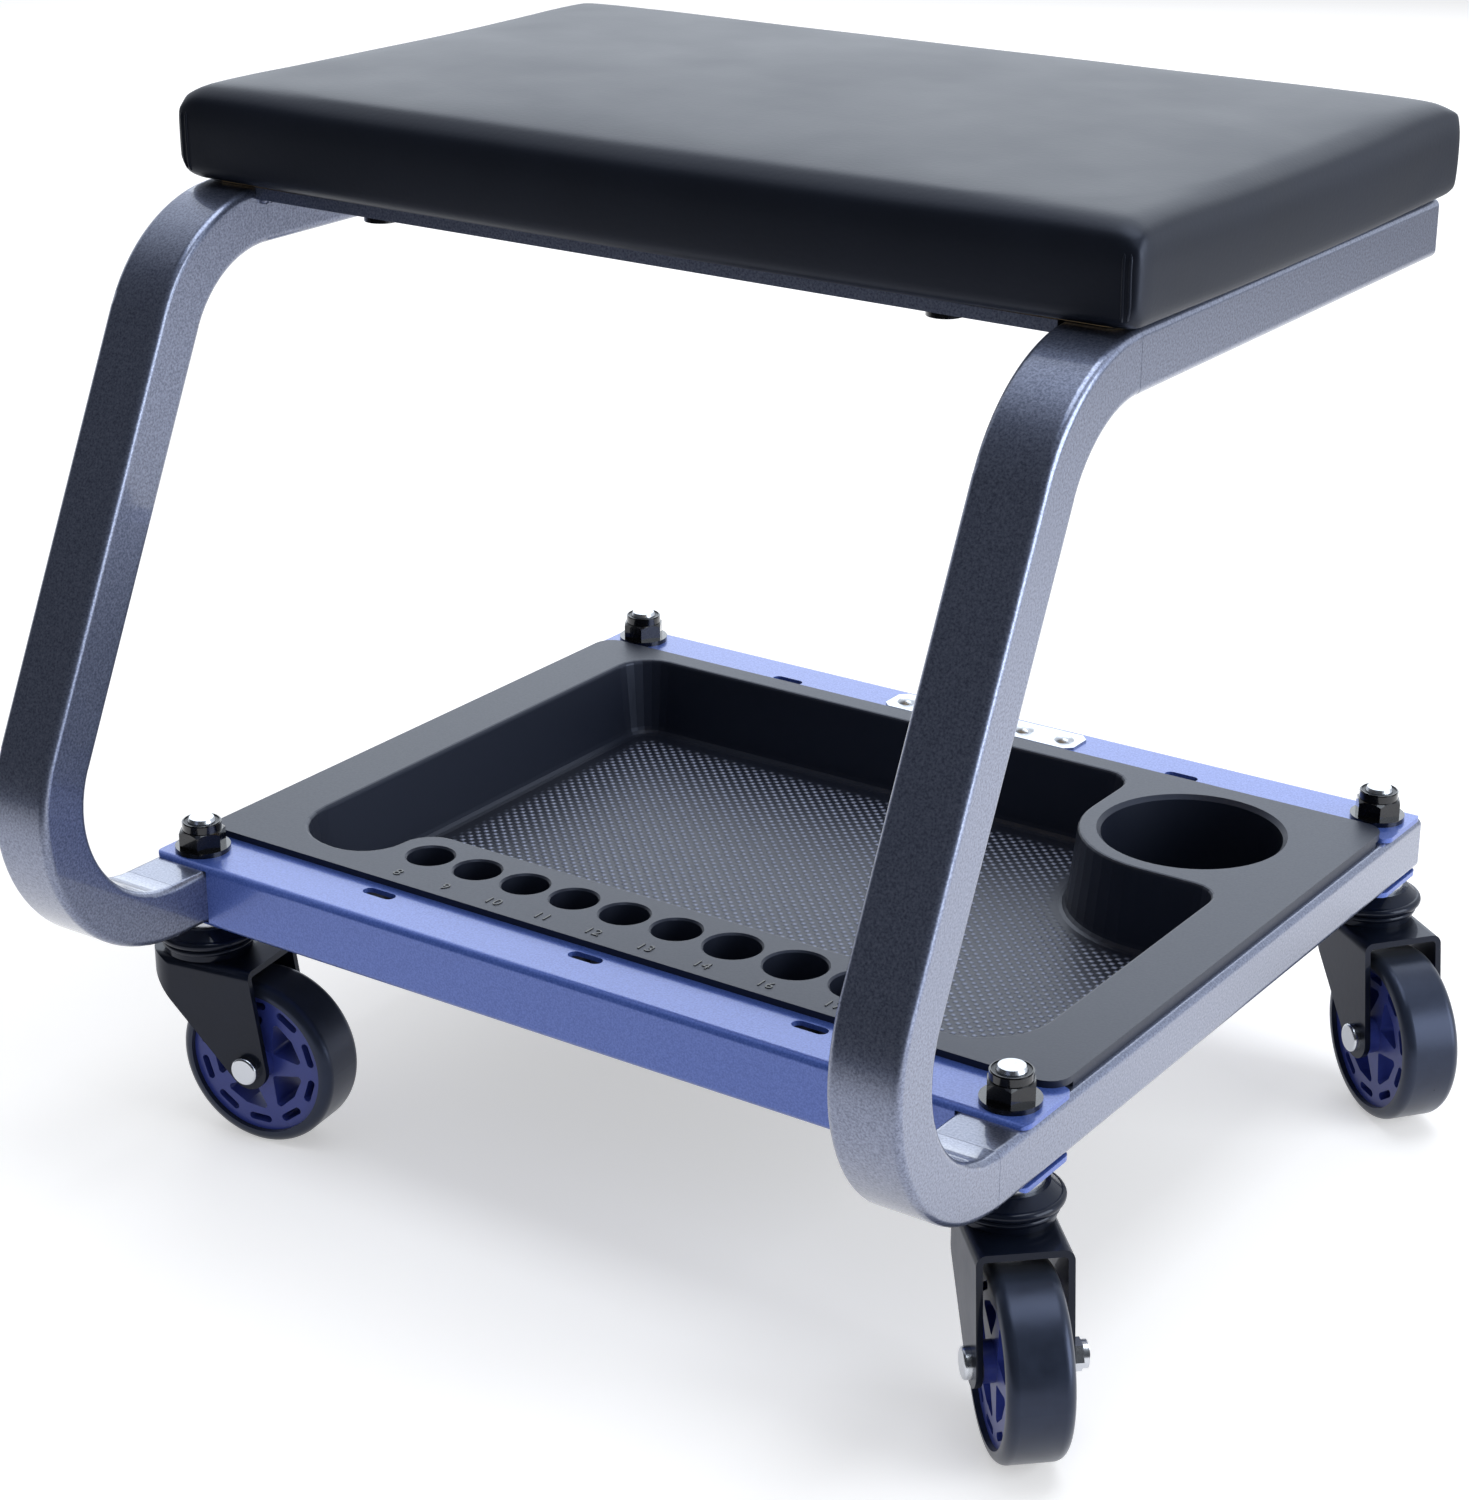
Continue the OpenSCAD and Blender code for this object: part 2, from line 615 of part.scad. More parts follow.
// Skin through rings of the recess. Its ends fan out from the left, the middle and the right,
// so that no fan crosses the socket strip or the island
module recess_skin(rings) {
    n = len(rings[0]);
    m = len(rings);
    side_x = (strip_half + recess_half) / 2;
    middle_y = (strip_rear + cup_y - island_r) / 2;
    middles = [[-side_x, middle_y], [0, middle_y], [side_x, middle_y]];
    front = ring_first(3);                       // first point right of the strip's rear edge
    right = ring_first(6);                       // first point of the island's right corner
    skin(rings, [for (p = middles) [p[0], p[1], rings[0][0][2]]],
        [for (p = middles) [p[0], p[1], rings[m - 1][0][2]]],
        [[0, n - 1, n + front - 1], [1, n + front - 1, n + front], [2, n + front, n + right],
            [1, n + right, n + n - 1]]);
}

// Inside of the recess: floor fillet, drafted wall, rounded lip
module recess_hollow() {
    floor_z = rim_z - recess_depth;
    fillet = [for (t = [90:-30:0])
        recess_ring(recess_draft + floor_r * (1 - cos(t)), floor_z + floor_r * (1 - sin(t)))];
    lip = [for (t = [90:-30:0])
        recess_ring(lip_r * (sin(t) - 1), rim_z - lip_r * (1 - cos(t)))];
    recess_skin(concat(fillet, lip, [recess_ring(-lip_r, rim_z + over)]));
}

// Outside of the recess, one wall thickness larger
module recess_shell() {
    low = rim_z - recess_depth - tray_wall;
    recess_skin([recess_ring(recess_draft - tray_wall + floor_r, low),
        recess_ring(recess_draft - tray_wall, low + floor_r),
        recess_ring(-tray_wall, rim_z - rim_t / 2)]);
}

// Middles of the socket wells, the row centred between the pockets
socket_total = sum_to(socket_d, len(socket_d)) + socket_land * (len(socket_d) - 1);
socket_y = strip_rear - socket_inset;
function socket_x(i) = -socket_total / 2 + sum_to(socket_d, i) + socket_land * i + socket_d[i] / 2;

// Drop-in moulding: rim, main recess, socket wells and cup well
module tray() {
    edge_w = 2 * tray_wall;                      // width of the lip turned down along the tubes
    socket_wall = socket_land * 3 / 4;           // runs each well's wall into its neighbour's
    edge_len = tray_rear - tray_front - 4 * tray_wall - 2 * (rail_d - tray_gap);
    color("dimgray") difference() {
        union() {
            translate([0, tray_mid, rail_top]) linear_extrude(rim_t)
                rounded_rect(tray_w, tray_rear - tray_front, rim_corner);
            for (side = [-1, 1])
                translate([side * (tray_w / 2 - edge_w / 2), tray_mid, rail_top - rail_t])
                    linear_extrude(rail_t + rim_t / 2) square([edge_w, edge_len], center = true);
            recess_shell();
            translate([cup_x, cup_y, rim_z - cup_depth - tray_wall])
                cylinder(d = cup_d + 2 * tray_wall, h = cup_depth);
            for (i = [0:len(socket_d) - 1])
                translate([socket_x(i), socket_y, rim_z - socket_depth - tray_wall])
                    cylinder(d = socket_d[i] + 2 * socket_wall, h = socket_depth);
        }
        recess_hollow();
        translate([cup_x, cup_y, rim_z - cup_depth]) cylinder(d = cup_d, h = cup_depth + over);
        translate([cup_x, cup_y, rim_z - cup_chamfer])
            cylinder(d1 = cup_d, d2 = cup_d + 2 * cup_chamfer + 2 * over, h = cup_chamfer + over);
        for (i = [0:len(socket_d) - 1]) translate([socket_x(i), socket_y, 0]) {
            translate([0, 0, rim_z - socket_depth])
                cylinder(d = socket_d[i], h = socket_depth + over);
            translate([0, 0, rim_z - socket_chamfer])
                cylinder(d1 = socket_d[i], d2 = socket_d[i] + 2 * socket_chamfer + 2 * over,
                    h = socket_chamfer + over);
        }
    }
}

// Flanged lock nut round the stem, with a seat for its locking ring
ring_h = nut_collar_h - nut_collar_h / 4;
ring_d = stem_d + (nut_collar_d - stem_d) * 2 / 3;

module lock_nuts() {
    crimp = (nut_collar_h - ring_h) / 2;         // thickness of the collar's turned-in top
    color("black") for (x = [-nut_x, nut_x], y = nut_ys) translate([x, y, rail_top])
        difference() {
            union() {
                cylinder(d = nut_flange_d, h = nut_flange_t);
                translate([0, 0, nut_flange_t]) intersection() {
                    cylinder(d = nut_flats / cos(30), h = nut_hex_h, $fn = 6);
                    cylinder(d1 = nut_flats / cos(30) + 2 * nut_hex_h,
                        d2 = nut_flats, h = nut_hex_h);
                }
                translate([0, 0, nut_flange_t]) cylinder(d = nut_collar_d, h = nut_hex_h);
                translate([0, 0, nut_h - nut_collar_h]) {
                    cylinder(d = nut_collar_d, h = nut_collar_h - crimp);
                    cylinder(d = nut_collar_d - 2 * crimp, h = nut_collar_h);
                }
            }
            translate([0, 0, -over]) cylinder(d = stem_d + 2 * seat_gap, h = nut_h + 2 * over);
            translate([0, 0, nut_h - crimp - ring_h])
                cylinder(d = ring_d + 2 * seat_gap, h = ring_h + crimp + over);
        }
}

// Locking rings in the nuts' collars
module nut_rings() {
    crimp = (nut_collar_h - ring_h) / 2;
    color("darkslategray") for (x = [-nut_x, nut_x], y = nut_ys)
        translate([x, y, rail_top + nut_h - crimp - ring_h]) difference() {
            cylinder(d = ring_d, h = ring_h);
            translate([0, 0, -over]) cylinder(d = stem_d + 2 * seat_gap, h = ring_h + 2 * over);
        }
}

// Stack of the caster head between the fork plate and the rail
ball_z = fork_top + (caster_h - fork_top) / 3;
collar_h = (caster_h - fork_top) / 5;
race_top = caster_h - collar_h;
groove_r = ball_d / 2 + slip_gap / 2;
head_h = fork_t;                                 // thickness of the stem's riveted foot

// Puts a caster piece at its corner, turned to its rest angle
module at_corner(side, row, turn) {
    translate([side * nut_x, nut_ys[row], 0]) rotate([0, 0, turn]) children();
}

// Threaded stem through rail and tube, with its collar above the races and a riveted foot
// under the fork plate
module stem() {
    foot_d = (stem_d + ball_ring_d) / 2;
    collar_d = (stem_d + race_d) / 2;
    top = rail_top + nut_h + stem_end;
    foot_top = fork_top - fork_t - slip_gap;
    tip = stem_end;
    color("silver") {
        translate([0, 0, foot_top - head_h]) cylinder(d = foot_d, h = head_h);
        translate([0, 0, foot_top]) cylinder(d = stem_d, h = top - foot_top - tip);
        translate([0, 0, top - tip]) cylinder(d1 = stem_d, d2 = stem_d - tip, h = tip);
        translate([0, 0, race_top]) cylinder(d = collar_d, h = collar_h);
    }
}

// Fixed upper race: a pressed cap with a rolled rim and a groove for the balls
module upper_race() {
    roll_r = (race_top - ball_z) / 4;
    low = ball_z + slip_gap / 2;
    shoulder_d = (race_d + stem_d) / 2 + 2 * roll_r;
    color("black") difference() {
        rotate_extrude() {
            translate([0, low]) square([race_d / 2 - roll_r, 2 * roll_r]);
            translate([race_d / 2 - roll_r, low + roll_r]) circle(roll_r);
            polygon([[0, low + roll_r], [race_d / 2 - roll_r, low + 2 * roll_r],
                [shoulder_d / 2, race_top], [0, race_top]]);
        }
        translate([0, 0, low - over]) cylinder(d = stem_d + 2 * seat_gap, h = race_top);
        translate([0, 0, ball_z]) rotate_extrude() translate([ball_ring_d / 2, 0]) circle(groove_r);
    }
}

// Bearing balls between the races
module ball_ring() {
    color("silver") for (i = [0:balls - 1]) rotate([0, 0, 360 * i / balls])
        translate([ball_ring_d / 2, 0, ball_z]) sphere(d = ball_d);
}

// Point on a circle where a line from p touches it, on the side that turn picks
function touch(p, c, r, turn) =
    let (v = p - c, a = atan2(v[1], v[0]) + turn * acos(r / norm(v)))
    c + r * [cos(a), sin(a)];

// Hood of the fork in plan and in cross section, drawn in by inset and open at the back by run
module hood(inset, run) {
    long = fork_front + fork_back - inset + run;
    intersection() {
        translate([long / 2 - fork_front + inset, 0, 0]) linear_extrude(fork_top - inset)
            rounded_rect(long, fork_w - 2 * inset, hood_corner - inset);
        rotate([90, 0, 90]) translate([0, 0, -fork_front]) linear_extrude(long + fork_front)
            translate([0, (fork_top - inset) / 2])
                rounded_rect(fork_w - 2 * inset, fork_top - inset, fork_fold - inset);
    }
}

// Pressed fork: plate, apron and two tapered cheeks, with the lower race set in its plate
module fork() {
    axle = [trail, axle_z];
    back_top = [fork_back, fork_top];
    apron_low = [-fork_front, fork_top - apron_h];
    roll_r = (ball_z - fork_top) / 4;
    race_h = ball_z - slip_gap / 2 - fork_top;
    hood_run = 2 * hood_corner;                  // carries the hood's rear corners past the fork
    color("black") difference() {
        union() {
            intersection() {
                difference() {
                    hood(0, hood_run);
                    hood(fork_t, 2 * hood_run);
                }
                rotate([90, 0, 0]) linear_extrude(fork_w + 2 * over, center = true) {
                    polygon([[-fork_front, fork_top], apron_low, touch(apron_low, axle, cheek_r, 1),
                        touch(back_top, axle, cheek_r, -1), back_top]);
                    translate(axle) circle(cheek_r);
                }
            }
            rotate_extrude() {
                translate([0, fork_top]) square([lower_race_d / 2 - roll_r, race_h]);
                translate([lower_race_d / 2 - roll_r, ball_z - slip_gap / 2 - roll_r])
                    circle(roll_r);
            }
        }
        translate([0, 0, fork_top - fork_t - over])
            cylinder(d = stem_d + 2 * run_gap, h = fork_t + race_h + 2 * over);
        translate([0, 0, ball_z]) rotate_extrude() translate([ball_ring_d / 2, 0]) circle(groove_r);
        translate([trail, 0, axle_z]) rotate([90, 0, 0])
            cylinder(d = axle_d + 2 * seat_gap, h = fork_w + 2 * over, center = true);
    }
}

// Axle bolt with a rounded head on the outer cheek
module axle_bolt() {
    head_round = axle_head_h / 3;
    bolt_len = fork_w + axle_head_h * 2;
    color("silver") translate([trail, 0, axle_z]) rotate([90, 0, 0]) {
        translate([0, 0, fork_w / 2 - bolt_len]) cylinder(d = axle_d, h = bolt_len);
        translate([0, 0, fork_w / 2]) rotate_extrude() {
            square([axle_head_d / 2, axle_head_h - head_round]);
            square([axle_head_d / 2 - head_round, axle_head_h]);
            translate([axle_head_d / 2 - head_round, axle_head_h - head_round])
                intersection() {
                    circle(head_round);
                    square(head_round);
                }
        }
    }
}

// Lock nut on the inner cheek
module axle_nut() {
    nut_len = axle_head_h * 2 - over / 2;
    color("silver") translate([trail, 0, axle_z]) rotate([-90, 0, 0])
        translate([0, 0, fork_w / 2]) difference() {
            union() {
                cylinder(d = axle_head_d, h = nut_len * 2 / 3, $fn = 6);
                cylinder(d = axle_head_d * cos(30), h = nut_len);
            }
            translate([0, 0, -over]) cylinder(d = axle_d + 2 * seat_gap, h = nut_len + 2 * over);
        }
}

// Steel sleeve clamped between the cheeks, on which the hub turns
module axle_sleeve() {
    sleeve_len = fork_w - 2 * fork_t - 2 * seat_gap;
    color("silver") translate([trail, 0, axle_z]) rotate([90, 0, 0]) difference() {
        cylinder(d = sleeve_d, h = sleeve_len, center = true);
        cylinder(d = axle_d + 2 * seat_gap, h = sleeve_len + over, center = true);
    }
}

// Lock rib between hub and tyre
rib_w = hub_w / 3;
rib_h = (wheel_d - hub_d) / 9;

// Spoked hub: five windows, twice as many rim slots, a long boss on the sleeve
module hub() {
    boss_len = fork_w - 2 * fork_t - 4 * slip_gap;
    spoke_off = spoke_w / 2 + window_corner;
    corner_r = window_r - window_corner;
    corner_a = 180 / spokes - asin(spoke_off / corner_r);
    inner_r = max(boss_d / 2 + 2 * window_corner, spoke_off / sin(180 / spokes));
    dashes = 2 * spokes;
    color("mediumblue") translate([trail, 0, axle_z]) rotate([90, 0, 0]) difference() {
        union() {
            cylinder(d = hub_d - 2 * seat_gap, h = hub_w, center = true);
            cylinder(d = hub_d + 2 * rib_h - 2 * seat_gap, h = rib_w - 2 * seat_gap, center = true);
            cylinder(d = boss_d, h = boss_len, center = true);
        }
        cylinder(d = sleeve_d + 2 * run_gap, h = boss_len + over, center = true);
        for (i = [0:spokes - 1]) rotate([0, 0, 360 * (i + 0.5) / spokes])
            linear_extrude(hub_w + over, center = true)
                round_outline([[inner_r, 0],
                    corner_r * [cos(corner_a), -sin(corner_a)], [corner_r, 0],
                    corner_r * [cos(corner_a), sin(corner_a)]], window_corner);
        for (i = [0:dashes - 1]) rotate([0, 0, 360 * (i + 0.5) / dashes])
            translate([dash_r, 0, 0]) linear_extrude(hub_w + over, center = true)
                rotate(90) slot(dash_len, dash_w);
    }
}

// Tyre moulded round the hub, with rounded shoulders
module tyre() {
    tread = (wheel_d - hub_d) / 2;
    s = min(tyre_shoulder, tread);
    color("#1c1c1e") translate([trail, 0, axle_z]) rotate([90, 0, 0]) rotate_extrude()
        difference() {
            union() {
                translate([hub_d / 2, -wheel_w / 2]) square([tread - s, wheel_w]);
                translate([hub_d / 2, s - wheel_w / 2]) square([tread, wheel_w - 2 * s]);
                for (side = [-1, 1])
                    translate([wheel_d / 2 - s, side * (wheel_w / 2 - s)]) circle(s);
            }
            translate([0, -wheel_w]) square([hub_d / 2, 2 * wheel_w]);
            translate([0, -rib_w / 2]) square([hub_d / 2 + rib_h, rib_w]);
        }
}

side_tube(-1);  // side_tube_left
side_tube(1);  // side_tube_right
tube_end_plugs();
front_rail();
rear_rail();
badge_plate();
badge_rivets();
seat_bar(bar_ys[0]);  // seat_bar_front
seat_bar(bar_ys[1]);  // seat_bar_rear
seat_board();
seat_tee_nuts();
seat_screws();
seat_cushion();
tray();
lock_nuts();
nut_rings();
at_corner(-1, 0, swivel_angle_fl) stem();  // stem_fl
at_corner(1, 0, swivel_angle_fr) stem();  // stem_fr
at_corner(-1, 1, swivel_angle_rl) stem();  // stem_rl
at_corner(1, 1, swivel_angle_rr) stem();  // stem_rr
at_corner(-1, 0, swivel_angle_fl) upper_race();  // upper_race_fl
at_corner(1, 0, swivel_angle_fr) upper_race();  // upper_race_fr
at_corner(-1, 1, swivel_angle_rl) upper_race();  // upper_race_rl
at_corner(1, 1, swivel_angle_rr) upper_race();  // upper_race_rr
at_corner(-1, 0, swivel_angle_fl) fork();  // fork_fl
at_corner(1, 0, swivel_angle_fr) fork();  // fork_fr
at_corner(-1, 1, swivel_angle_rl) fork();  // fork_rl
at_corner(1, 1, swivel_angle_rr) fork();  // fork_rr
at_corner(-1, 0, swivel_angle_fl) ball_ring();  // ball_ring_fl
at_corner(1, 0, swivel_angle_fr) ball_ring();  // ball_ring_fr
at_corner(-1, 1, swivel_angle_rl) ball_ring();  // ball_ring_rl
at_corner(1, 1, swivel_angle_rr) ball_ring();  // ball_ring_rr
at_corner(-1, 0, swivel_angle_fl) axle_bolt();  // axle_bolt_fl
at_corner(1, 0, swivel_angle_fr) axle_bolt();  // axle_bolt_fr
at_corner(-1, 1, swivel_angle_rl) axle_bolt();  // axle_bolt_rl
at_corner(1, 1, swivel_angle_rr) axle_bolt();  // axle_bolt_rr
at_corner(-1, 0, swivel_angle_fl) axle_nut();  // axle_nut_fl
at_corner(1, 0, swivel_angle_fr) axle_nut();  // axle_nut_fr
at_corner(-1, 1, swivel_angle_rl) axle_nut();  // axle_nut_rl
at_corner(1, 1, swivel_angle_rr) axle_nut();  // axle_nut_rr
at_corner(-1, 0, swivel_angle_fl) axle_sleeve();  // axle_sleeve_fl
at_corner(1, 0, swivel_angle_fr) axle_sleeve();  // axle_sleeve_fr
at_corner(-1, 1, swivel_angle_rl) axle_sleeve();  // axle_sleeve_rl
at_corner(1, 1, swivel_angle_rr) axle_sleeve();  // axle_sleeve_rr
at_corner(-1, 0, swivel_angle_fl) hub();  // hub_fl
at_corner(1, 0, swivel_angle_fr) hub();  // hub_fr
at_corner(-1, 1, swivel_angle_rl) hub();  // hub_rl
at_corner(1, 1, swivel_angle_rr) hub();  // hub_rr
at_corner(-1, 0, swivel_angle_fl) tyre();  // tyre_fl
at_corner(1, 0, swivel_angle_fr) tyre();  // tyre_fr
at_corner(-1, 1, swivel_angle_rl) tyre();  // tyre_rl
at_corner(1, 1, swivel_angle_rr) tyre();  // tyre_rr
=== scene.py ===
import math

import bpy
import numpy as np
from mathutils import Matrix, Vector
from mathutils.bvhtree import BVHTree


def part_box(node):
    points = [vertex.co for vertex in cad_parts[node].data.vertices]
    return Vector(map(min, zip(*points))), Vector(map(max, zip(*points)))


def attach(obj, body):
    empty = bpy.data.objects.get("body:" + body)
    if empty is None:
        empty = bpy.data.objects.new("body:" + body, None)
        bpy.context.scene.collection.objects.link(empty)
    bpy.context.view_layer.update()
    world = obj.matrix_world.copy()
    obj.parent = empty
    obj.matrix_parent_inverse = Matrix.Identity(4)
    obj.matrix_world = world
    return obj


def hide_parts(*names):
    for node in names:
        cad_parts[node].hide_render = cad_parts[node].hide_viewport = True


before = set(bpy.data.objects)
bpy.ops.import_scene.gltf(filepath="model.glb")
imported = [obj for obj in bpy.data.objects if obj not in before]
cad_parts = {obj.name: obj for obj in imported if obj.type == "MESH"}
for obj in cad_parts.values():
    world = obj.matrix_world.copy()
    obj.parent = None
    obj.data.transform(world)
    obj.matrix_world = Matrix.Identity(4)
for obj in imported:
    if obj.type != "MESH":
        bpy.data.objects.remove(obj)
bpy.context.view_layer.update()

# Camera and studio
# A white sweep under softboxes behind the stool, above it and on its right; the camera looks
# over its front right corner. Behind the camera and far behind the stool the room is darker,
# which only gloss shows.

yaw = math.radians(34.516)
pitch = math.radians(21.962)
roll = math.radians(-0.189)
ahead = Vector((-math.sin(yaw) * math.cos(pitch), math.cos(yaw) * math.cos(pitch), -math.sin(pitch)))
level = Vector((math.cos(yaw), math.sin(yaw), 0))
right = level * math.cos(roll) + ahead.cross(level) * math.sin(roll)
view = bpy.data.cameras.new("view")
view.sensor_fit = "VERTICAL"
view.sensor_height = 36
view.lens = 77.64
view.clip_end = 20
camera = bpy.data.objects.new("camera", view)
turn = Matrix((right, right.cross(ahead), -ahead)).transposed().to_4x4()
eye = Vector((0.5948, -0.8719, 0.5774))
camera.matrix_world = Matrix.Translation(eye) @ turn
bpy.context.scene.collection.objects.link(camera)
bpy.context.scene.camera = camera
bpy.context.scene.view_settings.view_transform = "Standard"


def softbox(name, place, aim, size, watts):
    """A square daylight lamp at place, facing aim; all in metres and watts."""
    lamp = bpy.data.lights.new(name, "AREA")
    lamp.shape = "SQUARE"
    lamp.size = size
    lamp.energy = watts
    lamp.color = (0.86, 0.93, 1.0)
    box = bpy.data.objects.new(name, lamp)
    box.location = place
    box.rotation_euler = (Vector(aim) - Vector(place)).to_track_quat("-Z", "Y").to_euler()
    bpy.context.scene.collection.objects.link(box)


softbox("rear", (-0.9, 1.85, 1.4), (0, 0, 0.3), 2.4, 24)
softbox("overhead", (0.25, 0.0, 1.75), (0, 0, 0.2), 1.1, 13)
softbox("side", (1.7, 0.3, 0.6), (0, 0, 0.15), 1.1, 21)


def add(tree, kind, inputs=None, **settings):
    """Adds one node. settings are its own properties; inputs maps a socket to a value, or to a
    (node, output) pair that is linked to it."""
    node = tree.nodes.new(kind)
    for name, value in settings.items():
        setattr(node, name, value)
    for name, value in (inputs or {}).items():
        if isinstance(value, tuple) and isinstance(value[0], bpy.types.Node):
            tree.links.new(value[0].outputs[value[1]], node.inputs[name])
        else:
            node.inputs[name].default_value = value
    return node


# The world is pure white to the camera. Gloss sees a cool white behind and beside the stool
# and 7 % of it behind the camera, and matt surfaces get 45 % of it as fill light.
world = bpy.data.worlds.new("studio")
bpy.context.scene.world = world
world.use_nodes = True
sky = world.node_tree
sky.nodes.clear()
ray = add(sky, "ShaderNodeLightPath")
way = add(sky, "ShaderNodeSeparateXYZ", {0: (add(sky, "ShaderNodeTexCoord"), "Generated")})
room = add(sky, "ShaderNodeMapRange", {
    0: (way, 1), "From Min": -0.35, "From Max": 0.15, "To Min": 0.07, "To Max": 1.0})
gloss = add(sky, "ShaderNodeMath", {0: (ray, "Is Glossy Ray"), 1: (room, 0)}, operation="MULTIPLY")
seen = add(sky, "ShaderNodeMath", {
    0: (ray, "Is Camera Ray"), 1: (ray, "Is Transmission Ray")}, operation="MAXIMUM")
seen = add(sky, "ShaderNodeMath", {0: (seen, 0), 1: (gloss, 0)}, operation="MAXIMUM")
fill = add(sky, "ShaderNodeMath", {0: (ray, "Is Diffuse Ray"), 1: 0.45}, operation="MULTIPLY")
strength = add(sky, "ShaderNodeMath", {0: (seen, 0), 1: (fill, 0)}, operation="MAXIMUM")
hue = add(sky, "ShaderNodeMix", {
    0: (ray, "Is Camera Ray"), 6: (0.88, 0.93, 1, 1), 7: (1, 1, 1, 1)}, data_type="RGBA")
white = add(sky, "ShaderNodeBackground", {"Color": (hue, 2), "Strength": (strength, 0)})
add(sky, "ShaderNodeOutputWorld", {"Surface": (white, 0)})

# The floor is a disc of matt paper, a little warm under the cool lamps. It glows for camera and
# glossy rays, so that it meets the white background and still takes the shadow, and gloss sees
# it fade to near black before the stool and to a dim grey far behind it.


def colour(code):
    """Linear RGBA of an sRGB hex code."""
    s = np.array([int(code[i:i + 2], 16) for i in (1, 3, 5)]) / 255
    return (*np.where(s <= 0.04045, s / 12.92, ((s + 0.055) / 1.055) ** 2.4), 1)


sweep = bpy.data.meshes.new("floor")
sweep_radius = 4
rim_count = 96
turns = np.linspace(0, 2 * np.pi, rim_count, endpoint=False)
rim = np.stack([sweep_radius * np.cos(turns), sweep_radius * np.sin(turns), 0 * turns], 1)
sweep.from_pydata(rim.tolist(), [], [list(range(rim_count))])
floor = bpy.data.objects.new("floor", sweep)
bpy.context.scene.collection.objects.link(floor)
paper = bpy.data.materials.new("white studio paper")
paper.use_nodes = True
tree = paper.node_tree
tree.nodes.clear()
ray = add(tree, "ShaderNodeLightPath")
place = add(tree, "ShaderNodeSeparateXYZ", {0: (add(tree, "ShaderNodeNewGeometry"), "Position")})
near = add(tree, "ShaderNodeMapRange", {
    0: (place, 1), "From Min": -0.85, "From Max": -0.4, "To Min": 1.0, "To Max": 0.0})
far = add(tree, "ShaderNodeMapRange", {
    0: (place, 1), "From Min": 0.4, "From Max": 1.5, "To Min": 0.0, "To Max": 0.7})
room = add(tree, "ShaderNodeMath", {0: (near, 0), 1: (far, 0)}, operation="MAXIMUM")
dark = add(tree, "ShaderNodeMath", {0: (ray, "Is Glossy Ray"), 1: (room, 0)}, operation="MULTIPLY")
seen = add(tree, "ShaderNodeMath", {
    0: (ray, "Is Camera Ray"), 1: (ray, "Is Glossy Ray")}, operation="MAXIMUM")
glow = add(tree, "ShaderNodeMapRange", {0: (seen, 0), "To Min": 0.0, "To Max": 0.42})
glow = add(tree, "ShaderNodeEmission", {"Color": colour("#ffffff"), "Strength": (glow, 0)})
sheet = add(tree, "ShaderNodeBsdfDiffuse", {"Color": colour("#ece7e3")})
both = add(tree, "ShaderNodeAddShader", {0: (sheet, 0), 1: (glow, 0)})
unlit = add(tree, "ShaderNodeBsdfDiffuse", {"Color": colour("#3f3f3f")})
both = add(tree, "ShaderNodeMixShader", {0: (dark, 0), 1: (both, 0), 2: (unlit, 0)})
add(tree, "ShaderNodeOutputMaterial", {"Surface": (both, 0)})
sweep.materials.append(paper)

# Side tubes and seat bars
# Two rectangular steel tubes, bent cold into open Cs, and two flat bars welded between them
# under the seat. All are powder coated in gunmetal with a fine metal flake under a gloss coat.


def start(name, **surface):
    """A new material of one Principled surface with these socket values; also gives its tree and
    the piece's own coordinates in metres."""
    finish = bpy.data.materials.new(name)
    finish.use_nodes = True
    tree = finish.node_tree
    tree.nodes.clear()
    shader = add(tree, "ShaderNodeBsdfPrincipled", surface)
    add(tree, "ShaderNodeOutputMaterial", {"Surface": (shader, 0)})
    return finish, tree, shader, (add(tree, "ShaderNodeTexCoord"), "Object")


def dress(finish, *names):
    """Puts a material on every slot of these CAD nodes."""
    for name in names:
        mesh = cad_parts[name].data
        if not mesh.materials:
            mesh.materials.append(finish)
        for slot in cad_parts[name].material_slots:
            slot.material = finish


# Powder coat with aluminium flake: flakes about 0.5 mm, drawn 0.8 mm so that they show, over
# a faint orange peel of 3 mm. The flake gives sparkle and the clear coat the sharp highlights.
# A pattern's Scale is one over its grain in metres, here and below: 1250 draws 0.8 mm.
gunmetal, tree, shader, at = start("gunmetal flake powder coat", **{
    "Metallic": 0.85, "Roughness": 0.34,
    "Coat Weight": 1.0, "Coat Roughness": 0.04})
flake = add(tree, "ShaderNodeTexNoise", {"Vector": at, "Scale": 1250.0, "Detail": 2.0, "Roughness": 0.6})
peel = add(tree, "ShaderNodeTexNoise", {"Vector": at, "Scale": 330.0, "Detail": 1.0})
shade = add(tree, "ShaderNodeMapRange", {0: (flake, "Fac"), "From Min": 0.3, "From Max": 0.7})
tint = add(tree, "ShaderNodeMix", {
    0: (shade, 0), 6: colour("#5a6178"), 7: colour("#888fa6")}, data_type="RGBA")
bump = add(tree, "ShaderNodeBump", {"Height": (flake, "Fac"), "Strength": 0.12, "Distance": 0.0002})
bump = add(tree, "ShaderNodeBump", {
    "Height": (peel, "Fac"), "Strength": 0.05, "Distance": 0.0006, "Normal": (bump, 0)})
tree.links.new(tint.outputs[2], shader.inputs["Base Color"])
tree.links.new(bump.outputs[0], shader.inputs["Normal"])
dress(gunmetal, "side_tube_left", "side_tube_right", "seat_bar_front", "seat_bar_rear")


